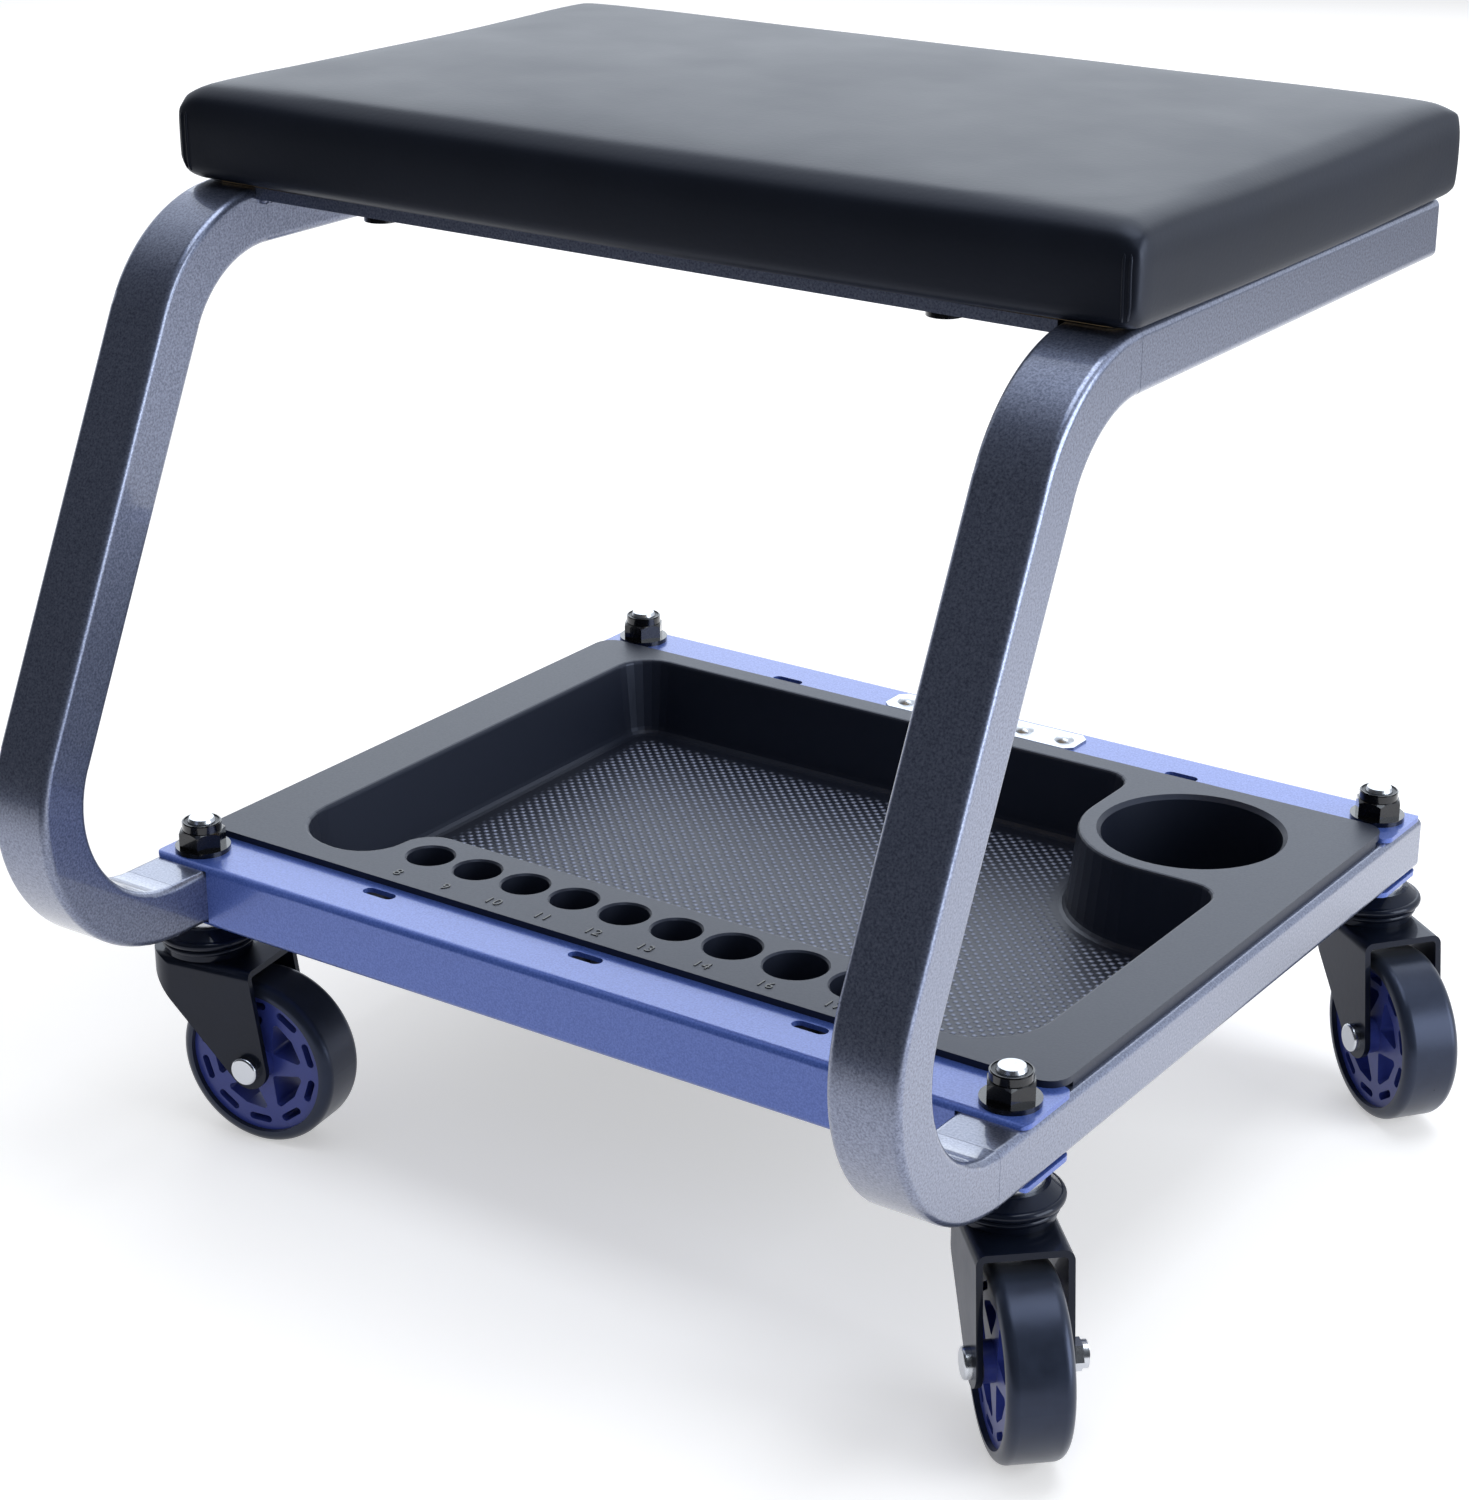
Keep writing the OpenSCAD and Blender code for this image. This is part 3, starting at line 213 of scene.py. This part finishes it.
def carried(name, path, radius, sides, body, finish):
    """A round profile carried along paths. path is an array (runs, points, 3) and radius one of
    (runs, points): each ring stands square to the path's own direction, and both ends close in
    a fan round their middle."""
    runs, n, _ = path.shape
    way = np.gradient(path, axis=1)
    way /= np.linalg.norm(way, axis=2, keepdims=True)
    level = np.abs(way[..., 2:]) < 0.9
    side = np.cross(way, np.where(level, [0.0, 0.0, 1.0], [1.0, 0.0, 0.0]))
    side /= np.linalg.norm(side, axis=2, keepdims=True)
    up = np.cross(way, side)
    turns = np.linspace(0, 2 * np.pi, sides, endpoint=False)
    ring = side[:, :, None] * np.cos(turns)[:, None] + up[:, :, None] * np.sin(turns)[:, None]
    rings = path[:, :, None] + ring * radius[:, :, None, None]
    points = np.concatenate([rings.reshape(runs, -1, 3), path[:, :1], path[:, -1:]], 1)
    i, k = np.meshgrid(np.arange(n - 1), np.arange(sides), indexing="ij")
    j = (k + 1) % sides
    wall = np.stack([i * sides + k, (i + 1) * sides + k, (i + 1) * sides + j, i * sides + j], -1)
    k = np.arange(sides)
    j = (k + 1) % sides
    low = np.stack([k, j, 0 * k + n * sides], 1)
    high = np.stack([(n - 1) * sides + j, (n - 1) * sides + k, 0 * k + n * sides + 1], 1)
    first = np.arange(runs)[:, None, None] * (n * sides + 2)
    walls = (wall.reshape(-1, 4) + first).reshape(-1, 4).tolist()
    caps = (np.concatenate([low, high]) + first).reshape(-1, 3).tolist()
    mesh = bpy.data.meshes.new(name)
    mesh.from_pydata(points.reshape(-1, 3).tolist(), [], walls + caps)
    mesh.shade_smooth()
    mesh.materials.append(finish)
    piece = bpy.data.objects.new(name, mesh)
    bpy.context.scene.collection.objects.link(piece)
    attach(piece, body)


# Fillet welds along the lower edges of both bars' ends, with the ripples of a hand-held torch,
# painted over with the tubes. Each bead runs out to nothing at both ends.
weld_radius = 0.0019
least_radius = 0.0002
weld_inset = 0.0006
weld_drop = 0.0003
weld_short = 0.002
ripple_pitch = 0.0022
ripple_height = 0.00025
weld_points = 60
beads = []
for bar in ("seat_bar_front", "seat_bar_rear"):
    low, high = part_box(bar)
    for x in (low.x, high.x):
        y = np.linspace(low.y + weld_short, high.y - weld_short, weld_points)
        weld_x = x - math.copysign(weld_inset, x)
        beads.append(np.stack([0 * y + weld_x, y, 0 * y + low.z - weld_drop], 1))
welds = np.array(beads)
ripple = weld_radius + ripple_height * np.abs(np.sin(np.pi * welds[:, :, 1] / ripple_pitch))
run_in = np.sin(np.pi * np.clip(np.linspace(0, 1, weld_points) * 12, 0, 0.5))
run_out = np.sin(np.pi * np.clip(np.linspace(1, 0, weld_points) * 12, 0.04, 0.5))
ripple *= run_in * run_out
carried("bar_welds", welds, np.maximum(ripple, least_radius), 10, "frame", gunmetal)

# Tube end plugs
# Black polyethylene plugs, pressed flush into the open ends of the tubes. Moulded, so they
# have an even satin face with a spark-eroded grain of 0.7 mm.

plug, tree, shader, at = start("moulded black polyethylene", **{
    "Base Color": colour("#17181b"), "Roughness": 0.5})
grain = add(tree, "ShaderNodeTexNoise", {"Vector": at, "Scale": 1500.0, "Detail": 2.0})
bump = add(tree, "ShaderNodeBump", {"Height": (grain, "Fac"), "Strength": 0.15, "Distance": 0.0002})
tree.links.new(bump.outputs[0], shader.inputs["Normal"])
dress(plug, "tube_end_plugs")

# Rails
# Front and rear rails, folded from 1.8 mm steel sheet into channels that grip the tubes from
# above and below. Powder coated in blue with a fine metal flake, drawn 0.7 mm so that it shows.

blue, tree, shader, at = start("blue flake powder coat", **{
    "Metallic": 0.35, "Roughness": 0.36, "Coat Weight": 0.6, "Coat Roughness": 0.12})
flake = add(tree, "ShaderNodeTexNoise", {"Vector": at, "Scale": 1500.0, "Detail": 1.0})
shade = add(tree, "ShaderNodeMapRange", {0: (flake, "Fac"), "From Min": 0.3, "From Max": 0.7})
tint = add(tree, "ShaderNodeMix", {
    0: (shade, 0), 6: colour("#3f5aa8"), 7: colour("#5871c0")}, data_type="RGBA")
bump = add(tree, "ShaderNodeBump", {"Height": (flake, "Fac"), "Strength": 0.06, "Distance": 0.0002})
tree.links.new(tint.outputs[2], shader.inputs["Base Color"])
tree.links.new(bump.outputs[0], shader.inputs["Normal"])
dress(blue, "front_rail", "rear_rail")

# Plate and rivets
# A bare plate of bright zinc-plated steel on the rear rail, held by four dome-headed rivets.
# The plating, which the caster stems and the board's tee nuts have too, has a fine rolled grain
# and a faint cloudy spangle of 6 mm.

corners = ("fl", "fr", "rl", "rr")

zinc, tree, shader, at = start("bright zinc plate", **{"Metallic": 1.0})
long_grain = add(tree, "ShaderNodeMapping", {"Vector": at, "Scale": (60.0, 1500.0, 1500.0)})
grain = add(tree, "ShaderNodeTexNoise", {"Vector": (long_grain, 0), "Scale": 1.0, "Detail": 3.0})
cloud = add(tree, "ShaderNodeTexNoise", {"Vector": at, "Scale": 160.0, "Detail": 2.0})
tint = add(tree, "ShaderNodeMix", {
    0: (cloud, "Fac"), 6: colour("#aeb2ba"), 7: colour("#dfe2e6")}, data_type="RGBA")
rough = add(tree, "ShaderNodeMapRange", {0: (grain, "Fac"), "To Min": 0.2, "To Max": 0.38})
tree.links.new(tint.outputs[2], shader.inputs["Base Color"])
tree.links.new(rough.outputs[0], shader.inputs["Roughness"])
dress(zinc, "badge_plate", "badge_rivets", "seat_tee_nuts", *("stem_" + c for c in corners))

# Stem nuts
# Flanged lock nuts on the caster stems, cold forged, then blackened and oiled to a wet-looking
# black with smears of 2 mm, as the seat's screws are. A dull nylon ring is crimped into the
# collar of each nut.

black_oxide, tree, shader, at = start("oiled black oxide", **{
    "Metallic": 0.85, "Base Color": colour("#1b1c20"), "Coat Weight": 0.8, "Coat Roughness": 0.06})
smear = add(tree, "ShaderNodeTexNoise", {"Vector": at, "Scale": 420.0, "Detail": 3.0})
rough = add(tree, "ShaderNodeMapRange", {0: (smear, "Fac"), "To Min": 0.18, "To Max": 0.34})
tree.links.new(rough.outputs[0], shader.inputs["Roughness"])
dress(black_oxide, "lock_nuts", "seat_screws")

nylon, tree, shader, at = start("dark nylon", **{
    "Base Color": colour("#2b2f36"), "Roughness": 0.4, "Subsurface Weight": 0.05})
scuff = add(tree, "ShaderNodeTexNoise", {"Vector": at, "Scale": 900.0})
bump = add(tree, "ShaderNodeBump", {"Height": (scuff, "Fac"), "Strength": 0.1, "Distance": 0.0002})
tree.links.new(bump.outputs[0], shader.inputs["Normal"])
dress(nylon, "nut_rings")

# Caster heads
# Pressed steel forks and bearing races, powder coated in black satin. The coat has a faint
# orange peel of 2.5 mm and a gloss that drifts a little over 17 mm.

black_coat, tree, shader, at = start("black satin powder coat", **{
    "Specular IOR Level": 0.2, "Specular Tint": colour("#b8c3e8"),
    "Coat Weight": 0.3, "Coat Roughness": 0.05, "Coat Tint": colour("#c2cce8")})
peel = add(tree, "ShaderNodeTexNoise", {"Vector": at, "Scale": 420.0, "Detail": 1.0})
mottle = add(tree, "ShaderNodeTexNoise", {"Vector": at, "Scale": 60.0, "Detail": 2.0})
tint = add(tree, "ShaderNodeMix", {
    0: (mottle, "Fac"), 6: colour("#090c13"), 7: colour("#131824")}, data_type="RGBA")
rough = add(tree, "ShaderNodeMapRange", {0: (mottle, "Fac"), "To Min": 0.3, "To Max": 0.42})
bump = add(tree, "ShaderNodeBump", {"Height": (peel, "Fac"), "Strength": 0.06, "Distance": 0.0005})
tree.links.new(tint.outputs[2], shader.inputs["Base Color"])
tree.links.new(rough.outputs[0], shader.inputs["Roughness"])
tree.links.new(bump.outputs[0], shader.inputs["Normal"])
dress(black_coat, *(n + c for n in ("fork_", "upper_race_") for c in corners))

# Bearing steel, ground to a bright and nearly even gloss: the balls between the races and the
# sleeves on which the wheels turn.
bearing, tree, shader, at = start("ground bearing steel", **{
    "Metallic": 1.0, "Base Color": colour("#b9bcc2")})
lay = add(tree, "ShaderNodeTexNoise", {"Vector": at, "Scale": 1100.0, "Detail": 2.0})
rough = add(tree, "ShaderNodeMapRange", {0: (lay, "Fac"), "To Min": 0.12, "To Max": 0.25})
tree.links.new(rough.outputs[0], shader.inputs["Roughness"])
dress(bearing, *(n + c for n in ("ball_ring_", "axle_sleeve_") for c in corners))

# Axle bolts and nuts, turned and zinc plated; their gloss is uneven over a millimetre or two, as
# the lathe left it.
turned_zinc, tree, shader, at = start("turned zinc plate", **{
    "Metallic": 1.0, "Base Color": colour("#c9ccd2")})
cuts = add(tree, "ShaderNodeTexNoise", {"Vector": at, "Scale": 700.0, "Detail": 3.0})
rough = add(tree, "ShaderNodeMapRange", {0: (cuts, "Fac"), "To Min": 0.16, "To Max": 0.3})
tree.links.new(rough.outputs[0], shader.inputs["Roughness"])
dress(turned_zinc, *(n + c for n in ("axle_bolt_", "axle_nut_") for c in corners))

# Wheels
# Injection moulded polypropylene hubs in blue, and tyres of dark polyurethane cast round them.
# The hub is slightly glossy with faint flow marks of 11 mm; the tyre is satin, with patches of
# 8 mm scuffed a little duller.

hub_plastic, tree, shader, at = start("blue moulded polypropylene", **{"IOR": 1.49})
flow = add(tree, "ShaderNodeTexNoise", {"Vector": at, "Scale": 90.0, "Detail": 2.0, "Distortion": 0.6})
tint = add(tree, "ShaderNodeMix", {
    0: (flow, "Fac"), 6: colour("#2f3a86"), 7: colour("#3a4796")}, data_type="RGBA")
rough = add(tree, "ShaderNodeMapRange", {0: (flow, "Fac"), "To Min": 0.28, "To Max": 0.4})
tree.links.new(tint.outputs[2], shader.inputs["Base Color"])
tree.links.new(rough.outputs[0], shader.inputs["Roughness"])
dress(hub_plastic, *("hub_" + c for c in corners))

rubber, tree, shader, at = start("dark cast polyurethane", **{
    "IOR": 1.55, "Specular Tint": colour("#b8c3e8"), "Sheen Weight": 0.15, "Sheen Roughness": 0.4})
dust = add(tree, "ShaderNodeTexNoise", {"Vector": at, "Scale": 130.0, "Detail": 4.0, "Roughness": 0.65})
tint = add(tree, "ShaderNodeMix", {
    0: (dust, "Fac"), 6: colour("#181c26"), 7: colour("#272d3b")}, data_type="RGBA")
rough = add(tree, "ShaderNodeMapRange", {0: (dust, "Fac"), "To Min": 0.24, "To Max": 0.38})
bump = add(tree, "ShaderNodeBump", {"Height": (dust, "Fac"), "Strength": 0.04, "Distance": 0.0005})
tree.links.new(tint.outputs[2], shader.inputs["Base Color"])
tree.links.new(rough.outputs[0], shader.inputs["Roughness"])
tree.links.new(bump.outputs[0], shader.inputs["Normal"])
dress(rubber, *("tyre_" + c for c in corners))

# Tray
# One moulding of black polypropylene that drops in between the rails: a satin face with a grain
# of 0.9 mm, and a diamond grip pattern on the recess floor that stops short of the walls, with
# a painted highlight on the diamonds' tops.

tray_low, tray_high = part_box("tray")
floor_z = tray_high.z - 0.031
floor_half_w = 0.143
floor_front = tray_low.y + 0.047
floor_back = tray_high.y - 0.02
cup = (0.1197, tray_high.y - 0.043)
cup_clear = 0.049
grip_pitch = 0.0046
grip_fade = 0.006
front_fade = 0.005
tray_black, tree, shader, at = start("satin black polypropylene", **{
    "IOR": 1.5, "Specular IOR Level": 0.6, "Specular Tint": colour("#ccd4ec")})
xyz = add(tree, "ShaderNodeSeparateXYZ", {0: at})

# The diamonds stand in staggered rows 2.3 mm apart: the height is the product of two cosine
# waves, one along x and one along y, cut off below zero and faded out near the walls. The same
# height also paints the diamonds' tops light grey, a painted highlight on the black floor.
waves = []
for axis in (0, 1):
    angle = add(tree, "ShaderNodeMath", {0: (xyz, axis), 1: 2 * math.pi / grip_pitch}, operation="MULTIPLY")
    waves.append(add(tree, "ShaderNodeMath", {0: (angle, 0)}, operation="COSINE"))
stud = add(tree, "ShaderNodeMath", {0: (waves[0], 0), 1: (waves[1], 0)}, operation="MULTIPLY")
stud = add(tree, "ShaderNodeMath", {0: (stud, 0), 1: 0.0}, operation="MAXIMUM")
on_floor = add(tree, "ShaderNodeMath", {0: (xyz, 2), 1: floor_z, 2: 0.0002}, operation="COMPARE")
from_cup = add(tree, "ShaderNodeVectorMath", {0: at, 1: (*cup, floor_z)}, operation="DISTANCE")
clear_of_cup = add(tree, "ShaderNodeMapRange", {
    0: (from_cup, "Value"), "From Min": cup_clear, "From Max": cup_clear + grip_fade})
from_middle = add(tree, "ShaderNodeMath", {0: (xyz, 0)}, operation="ABSOLUTE")
left_right = add(tree, "ShaderNodeMapRange", {
    0: (from_middle, 0), "From Min": floor_half_w - grip_fade, "From Max": floor_half_w,
    "To Min": 1.0, "To Max": 0.0})
front = add(tree, "ShaderNodeMapRange", {
    0: (xyz, 1), "From Min": floor_front, "From Max": floor_front + front_fade})
back = add(tree, "ShaderNodeMapRange", {
    0: (xyz, 1), "From Min": floor_back - grip_fade, "From Max": floor_back,
    "To Min": 1.0, "To Max": 0.0})
mask = on_floor
for edge in (clear_of_cup, left_right, front, back):
    mask = add(tree, "ShaderNodeMath", {0: (mask, 0), 1: (edge, 0)}, operation="MULTIPLY")
grip_height_and_highlight = (add(tree, "ShaderNodeMath", {0: (stud, 0), 1: (mask, 0)}, operation="MULTIPLY"), 0)
fine = add(tree, "ShaderNodeTexNoise", {"Vector": at, "Scale": 1100.0, "Detail": 2.0})
# Painted highlight: the diamonds' tops are coloured light grey, and the floor between them stays black.
tint = add(tree, "ShaderNodeMix", {
    0: grip_height_and_highlight, 6: colour("#1a1e2a"), 7: colour("#bcc4e0")}, data_type="RGBA")
rough = add(tree, "ShaderNodeMapRange", {0: (fine, "Fac"), "To Min": 0.34, "To Max": 0.46})
bump = add(tree, "ShaderNodeBump", {"Height": grip_height_and_highlight, "Strength": 0.9, "Distance": 0.0006})
bump = add(tree, "ShaderNodeBump", {
    "Height": (fine, "Fac"), "Strength": 0.1, "Distance": 0.0002, "Normal": (bump, 0)})
tree.links.new(tint.outputs[2], shader.inputs["Base Color"])
tree.links.new(rough.outputs[0], shader.inputs["Roughness"])
tree.links.new(bump.outputs[0], shader.inputs["Normal"])
dress(tray_black, "tray")

# Plain numbers, moulded proud by a quarter of a millimetre before the socket wells and left
# glossy, with faint sinks of 2 mm, so that they read dark on the satin strip.
gloss_black, tree, shader, at = start("gloss black polypropylene", **{
    "Base Color": colour("#0b0c0f"), "Roughness": 0.22})
flow = add(tree, "ShaderNodeTexNoise", {"Vector": at, "Scale": 500.0})
bump = add(tree, "ShaderNodeBump", {"Height": (flow, "Fac"), "Strength": 0.05, "Distance": 0.0002})
tree.links.new(bump.outputs[0], shader.inputs["Normal"])
wells = np.array([17, 17, 17, 17, 17.5, 17.5, 20, 22, 22]) / 1000
land = 0.0044
digit_height = 0.0062
digits_from_front = 0.0068
middles = np.cumsum(wells + land) - wells / 2 - land - (wells.sum() + land * 8) / 2
sizes = (8, 9, 10, 11, 12, 13, 14, 16, 17)
for size, x in zip(sizes, middles):
    words = bpy.data.curves.new("number", "FONT")
    words.body = str(size)
    words.size = digit_height
    words.extrude = 0.0002
    words.align_x = "CENTER"
    words.align_y = "CENTER"
    words.space_character = 1.15
    text = bpy.data.objects.new("number", words)
    bpy.context.scene.collection.objects.link(text)
    bpy.context.view_layer.update()
    solid_text = text.evaluated_get(bpy.context.evaluated_depsgraph_get())
    mesh = bpy.data.meshes.new_from_object(solid_text)
    bpy.data.objects.remove(text)
    mesh.transform(Matrix.Translation((x, tray_low.y + digits_from_front, tray_high.z + 0.00005)))
    mesh.materials.clear()
    mesh.materials.append(gloss_black)
    number = bpy.data.objects.new("size_number_%d" % size, mesh)
    bpy.context.scene.collection.objects.link(number)
    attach(number, "frame")

# Seat board
# 10 mm birch plywood. Its face veneer shows from below, with a grain 5 mm wide and 75 mm long
# that runs across the seat.

ply, tree, shader, at = start("raw birch plywood", **{"Roughness": 0.62})
along = add(tree, "ShaderNodeMapping", {"Vector": at, "Scale": (6.0, 90.0, 300.0)})
figure = add(tree, "ShaderNodeTexNoise", {
    "Vector": (along, 0), "Scale": 2.2, "Detail": 6.0, "Distortion": 0.7})
tint = add(tree, "ShaderNodeMix", {
    0: (figure, "Fac"), 6: colour("#b08d5e"), 7: colour("#dcc095")}, data_type="RGBA")
bump = add(tree, "ShaderNodeBump", {"Height": (figure, "Fac"), "Strength": 0.15, "Distance": 0.0003})
tree.links.new(tint.outputs[2], shader.inputs["Base Color"])
tree.links.new(bump.outputs[0], shader.inputs["Normal"])
dress(ply, "seat_board")

# Seat cushion
# Firm foam under black vinyl, drawn tight over the board's edge and stapled below. The cover
# is one sheet: it rolls over the top edge and is pleated at the four upright corners.

low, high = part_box("seat_cushion")
mid = (low + high) / 2
proud_ends = 0.005
proud_faces = 0.0018
half_w = (high.x - low.x) / 2 + proud_ends
half_d = (high.y - low.y) / 2 + proud_faces
corner_radius = 0.0035
edge_roll = 0.0085
crown_height = 0.0034
crown_room = 0.0049
drawn = 0.0006
voxel = 0.004
most_move = 0.0018
frames = 20
evening_passes = 80


def boxed_pad(count, corner):
    """Points (profile, round, 3) of the pad before it is filled, in metres from its middle. Every
    ring is a rounded rectangle: a smaller rectangle plus a round of the corner radius. The
    profile goes out along the bottom, up the side, over the roll of the top edge, and in over
    the top, where the height adds a crown (1 - x squared)(1 - y squared)."""
    side = np.linspace(-1, 1, count + 2)[1:-1]
    bend = np.linspace(0, np.pi / 2, 8)
    flat = np.ones(len(side))
    round_core = np.ones(len(bend))
    core_x = np.concatenate([flat, round_core, -side, -round_core, -flat, -round_core, side, round_core])
    core_y = np.concatenate([side, round_core, flat, round_core, -side, -round_core, -flat, -round_core])
    quarters = [part + quarter * np.pi / 2 for quarter in range(4) for part in (0 * side, bend)]
    angle = np.concatenate(quarters)
    below = 10
    above = 26
    edge = high.z - low.z - crown_room
    over = np.linspace(0, np.pi / 2, 9)
    inset = np.concatenate([[0.0022, 0.0012, 0.0005, 0.0], edge_roll * (1 - np.cos(over))])
    rise = np.concatenate([[0.0004, 0.0035, 0.008, 0.016], edge - edge_roll * (1 - np.sin(over))])
    last_round = below + len(inset) - 1
    scale = np.concatenate([
        np.linspace(0.05, 0.97, below), np.ones(len(inset)), np.linspace(0.985, 0.02, above)])
    inset = np.concatenate([np.full(below, inset[0]), inset, np.full(above, inset[-1])])
    rise = np.concatenate([np.full(below, rise[0]), rise, np.full(above, rise[-1])])
    r = np.maximum(corner - inset / 2, 0.002)[:, None]
    x = (core_x * (half_w - inset[:, None] - r) + r * np.cos(angle)) * scale[:, None]
    y = (core_y * (half_d - inset[:, None] - r) + r * np.sin(angle)) * scale[:, None]
    crown = (1 - (x / half_w) ** 2) * (1 - (y / half_d) ** 2)
    on_top = np.arange(len(rise))[:, None] >= last_round
    z = rise[:, None] + np.where(on_top, crown_height * crown, 0)
    return np.stack([x, y, z], -1)


# The sheet is drawn in a little at the ends, and the foam gives as much in front and behind.
grid = boxed_pad(30, corner_radius)
rows, cols, _ = grid.shape
stretch = np.array([1 - drawn / half_w, 1 + drawn / half_d, 1])
points = grid.reshape(-1, 3) * stretch + np.array([mid.x, mid.y, low.z])
i, k = np.meshgrid(np.arange(rows - 1), np.arange(cols), indexing="ij")
j = (k + 1) % cols
quads = np.stack([i * cols + k, i * cols + j, (i + 1) * cols + j, (i + 1) * cols + k], -1).reshape(-1, 4)
bottom = list(range(cols))[::-1]
top = list(range((rows - 1) * cols, rows * cols))
mesh = bpy.data.meshes.new("seat_cover")
mesh.from_pydata(points.tolist(), [], quads.tolist() + [bottom, top])
cushion = bpy.data.objects.new("seat_cover", mesh)
bpy.context.scene.collection.objects.link(cushion)


def apply(piece):
    """Turns the piece's modifiers into plain mesh."""
    bpy.context.view_layer.update()
    shape = bpy.data.meshes.new_from_object(piece.evaluated_get(bpy.context.evaluated_depsgraph_get()))
    piece.modifiers.clear()
    piece.data = shape


def spots(piece):
    """The piece's points as an array."""
    out = np.empty(len(piece.data.vertices) * 3, np.float32)
    piece.data.vertices.foreach_get("co", out)
    return out.reshape(-1, 3).astype(float)


remesh = cushion.modifiers.new("even mesh", "REMESH")
remesh.mode = "VOXEL"
remesh.voxel_size = voxel
remesh.use_smooth_shade = True
apply(cushion)
# The cover is blown up against the foam's shape: its underside stays on the board, the moves
# even out along the cover, and no point moves more than 1.8 mm, because the foam is firm.
before = spots(cushion)
held = cushion.vertex_groups.new(name="stapled")
held.add(np.flatnonzero(before[:, 2] < low.z + 0.0015).tolist(), 1.0, "REPLACE")
cloth = cushion.modifiers.new("vinyl", "CLOTH")
cloth.settings.quality = 5
cloth.settings.mass = 0.4
cloth.settings.tension_stiffness = 30
cloth.settings.compression_stiffness = 30
cloth.settings.bending_stiffness = 3
cloth.settings.use_pressure = True
cloth.settings.uniform_pressure_force = 4
cloth.settings.effector_weights.gravity = 0
cloth.settings.vertex_group_mass = "stapled"
cloth.collision_settings.use_collision = False
for step in range(1, frames + 1):
    bpy.context.scene.frame_set(step)
moved = cushion.evaluated_get(bpy.context.evaluated_depsgraph_get())
after = np.empty(len(moved.data.vertices) * 3, np.float32)
moved.data.vertices.foreach_get("co", after)
move = after.reshape(-1, 3) - before
edges = np.empty(len(cushion.data.edges) * 2, np.int32)
cushion.data.edges.foreach_get("vertices", edges)
one, other = edges.reshape(-1, 2).T
count = np.bincount(edges, minlength=len(before))[:, None]
for step in range(evening_passes):
    beside = np.zeros_like(move)
    np.add.at(beside, one, move[other])
    np.add.at(beside, other, move[one])
    move = (move + beside / count) / 2
length = np.linalg.norm(move, axis=1, keepdims=True)
settled = before + move * np.minimum(1, most_move / np.maximum(length, 1e-9))
cushion.modifiers.clear()
cushion.data.vertices.foreach_set("co", settled.astype(np.float32).ravel())
bpy.context.scene.frame_set(1)
smooth = cushion.modifiers.new("smooth", "SUBSURF")
smooth.levels = 1
smooth.render_levels = 1
apply(cushion)

# The board and the tee nuts' flanges sit in a pocket in the foam, cut out of the filled pad.
board_low, board_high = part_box("seat_board")
nuts_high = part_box("seat_tee_nuts")[1]
pocket = bpy.data.meshes.new("pocket")
play = 0.0003
pocket_low = np.array([board_low.x, board_low.y, low.z - 0.01]) - [play, play, 0]
pocket_high = np.array([board_high.x, board_high.y, nuts_high.z]) + play
choice = np.indices((2, 2, 2)).reshape(3, -1).T
pocket_points = np.array([pocket_low, pocket_high])[choice, [0, 1, 2]]
pocket_faces = [[0, 1, 3, 2], [4, 6, 7, 5], [0, 4, 5, 1], [2, 3, 7, 6], [0, 2, 6, 4], [1, 5, 7, 3]]
pocket.from_pydata(pocket_points.tolist(), [], pocket_faces)
cutter = bpy.data.objects.new("pocket", pocket)
bpy.context.scene.collection.objects.link(cutter)
cut = cushion.modifiers.new("pocket", "BOOLEAN")
cut.operation = "DIFFERENCE"
cut.solver = "EXACT"
cut.object = cutter
apply(cushion)
bpy.data.objects.remove(cutter)
cushion.data.shade_smooth()

# Calendered vinyl with a leather emboss: cells of 1.3 mm between shallow creases, drawn as
# coarse as the picture shows, on a satin black film whose gloss drifts a little over 40 mm.
vinyl, tree, shader, at = start("black embossed vinyl", **{
    "IOR": 1.5, "Specular IOR Level": 0.42, "Specular Tint": colour("#ccd4ec")})
cells = add(tree, "ShaderNodeTexVoronoi", {"Vector": at, "Scale": 760.0}, feature="SMOOTH_F1")
soft = add(tree, "ShaderNodeTexNoise", {"Vector": at, "Scale": 25.0, "Detail": 3.0})
tint = add(tree, "ShaderNodeMix", {
    0: (soft, "Fac"), 6: colour("#0d1017"), 7: colour("#131722")}, data_type="RGBA")
rough = add(tree, "ShaderNodeMapRange", {0: (soft, "Fac"), "To Min": 0.4, "To Max": 0.5})
bump = add(tree, "ShaderNodeBump", {"Height": (cells, "Distance"), "Strength": 0.12, "Distance": 0.0002})
tree.links.new(tint.outputs[2], shader.inputs["Base Color"])
tree.links.new(rough.outputs[0], shader.inputs["Roughness"])
tree.links.new(bump.outputs[0], shader.inputs["Normal"])
cushion.data.materials.clear()
cushion.data.materials.append(vinyl)
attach(cushion, "frame")
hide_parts("seat_cushion")

# Each upright corner is folded into a box pleat: two folded lips of vinyl, 2.4 mm apart, run
# down the front and back faces just short of the corner, and fade out at the top edge.
cover = BVHTree.FromPolygons([v.co for v in cushion.data.vertices],
                             [p.vertices for p in cushion.data.polygons])
lip_radius = 0.0006
lip_points = 26
lip_places = (half_w - 0.0049, half_w - 0.0073)
tall = np.linspace(low.z + 0.0025, high.z - 0.012, lip_points)
lips = []
for face in (-1, 1):
    for x in lip_places:
        for end in (-1, 1):
            spot = (mid.x + end * x, mid.y + face * (half_d + 0.001))
            lip = [cover.find_nearest(Vector((*spot, z)))[0] for z in tall]
            lips.append(np.array(lip) - [0, face * 0.00015, 0])
fade = np.clip(np.minimum(np.linspace(0, 6, lip_points) + 0.5, np.linspace(9, 0.2, lip_points)), 0, 1)
carried("corner_pleats", np.array(lips), np.tile(lip_radius * fade, (8, 1)), 10, "frame", vinyl)
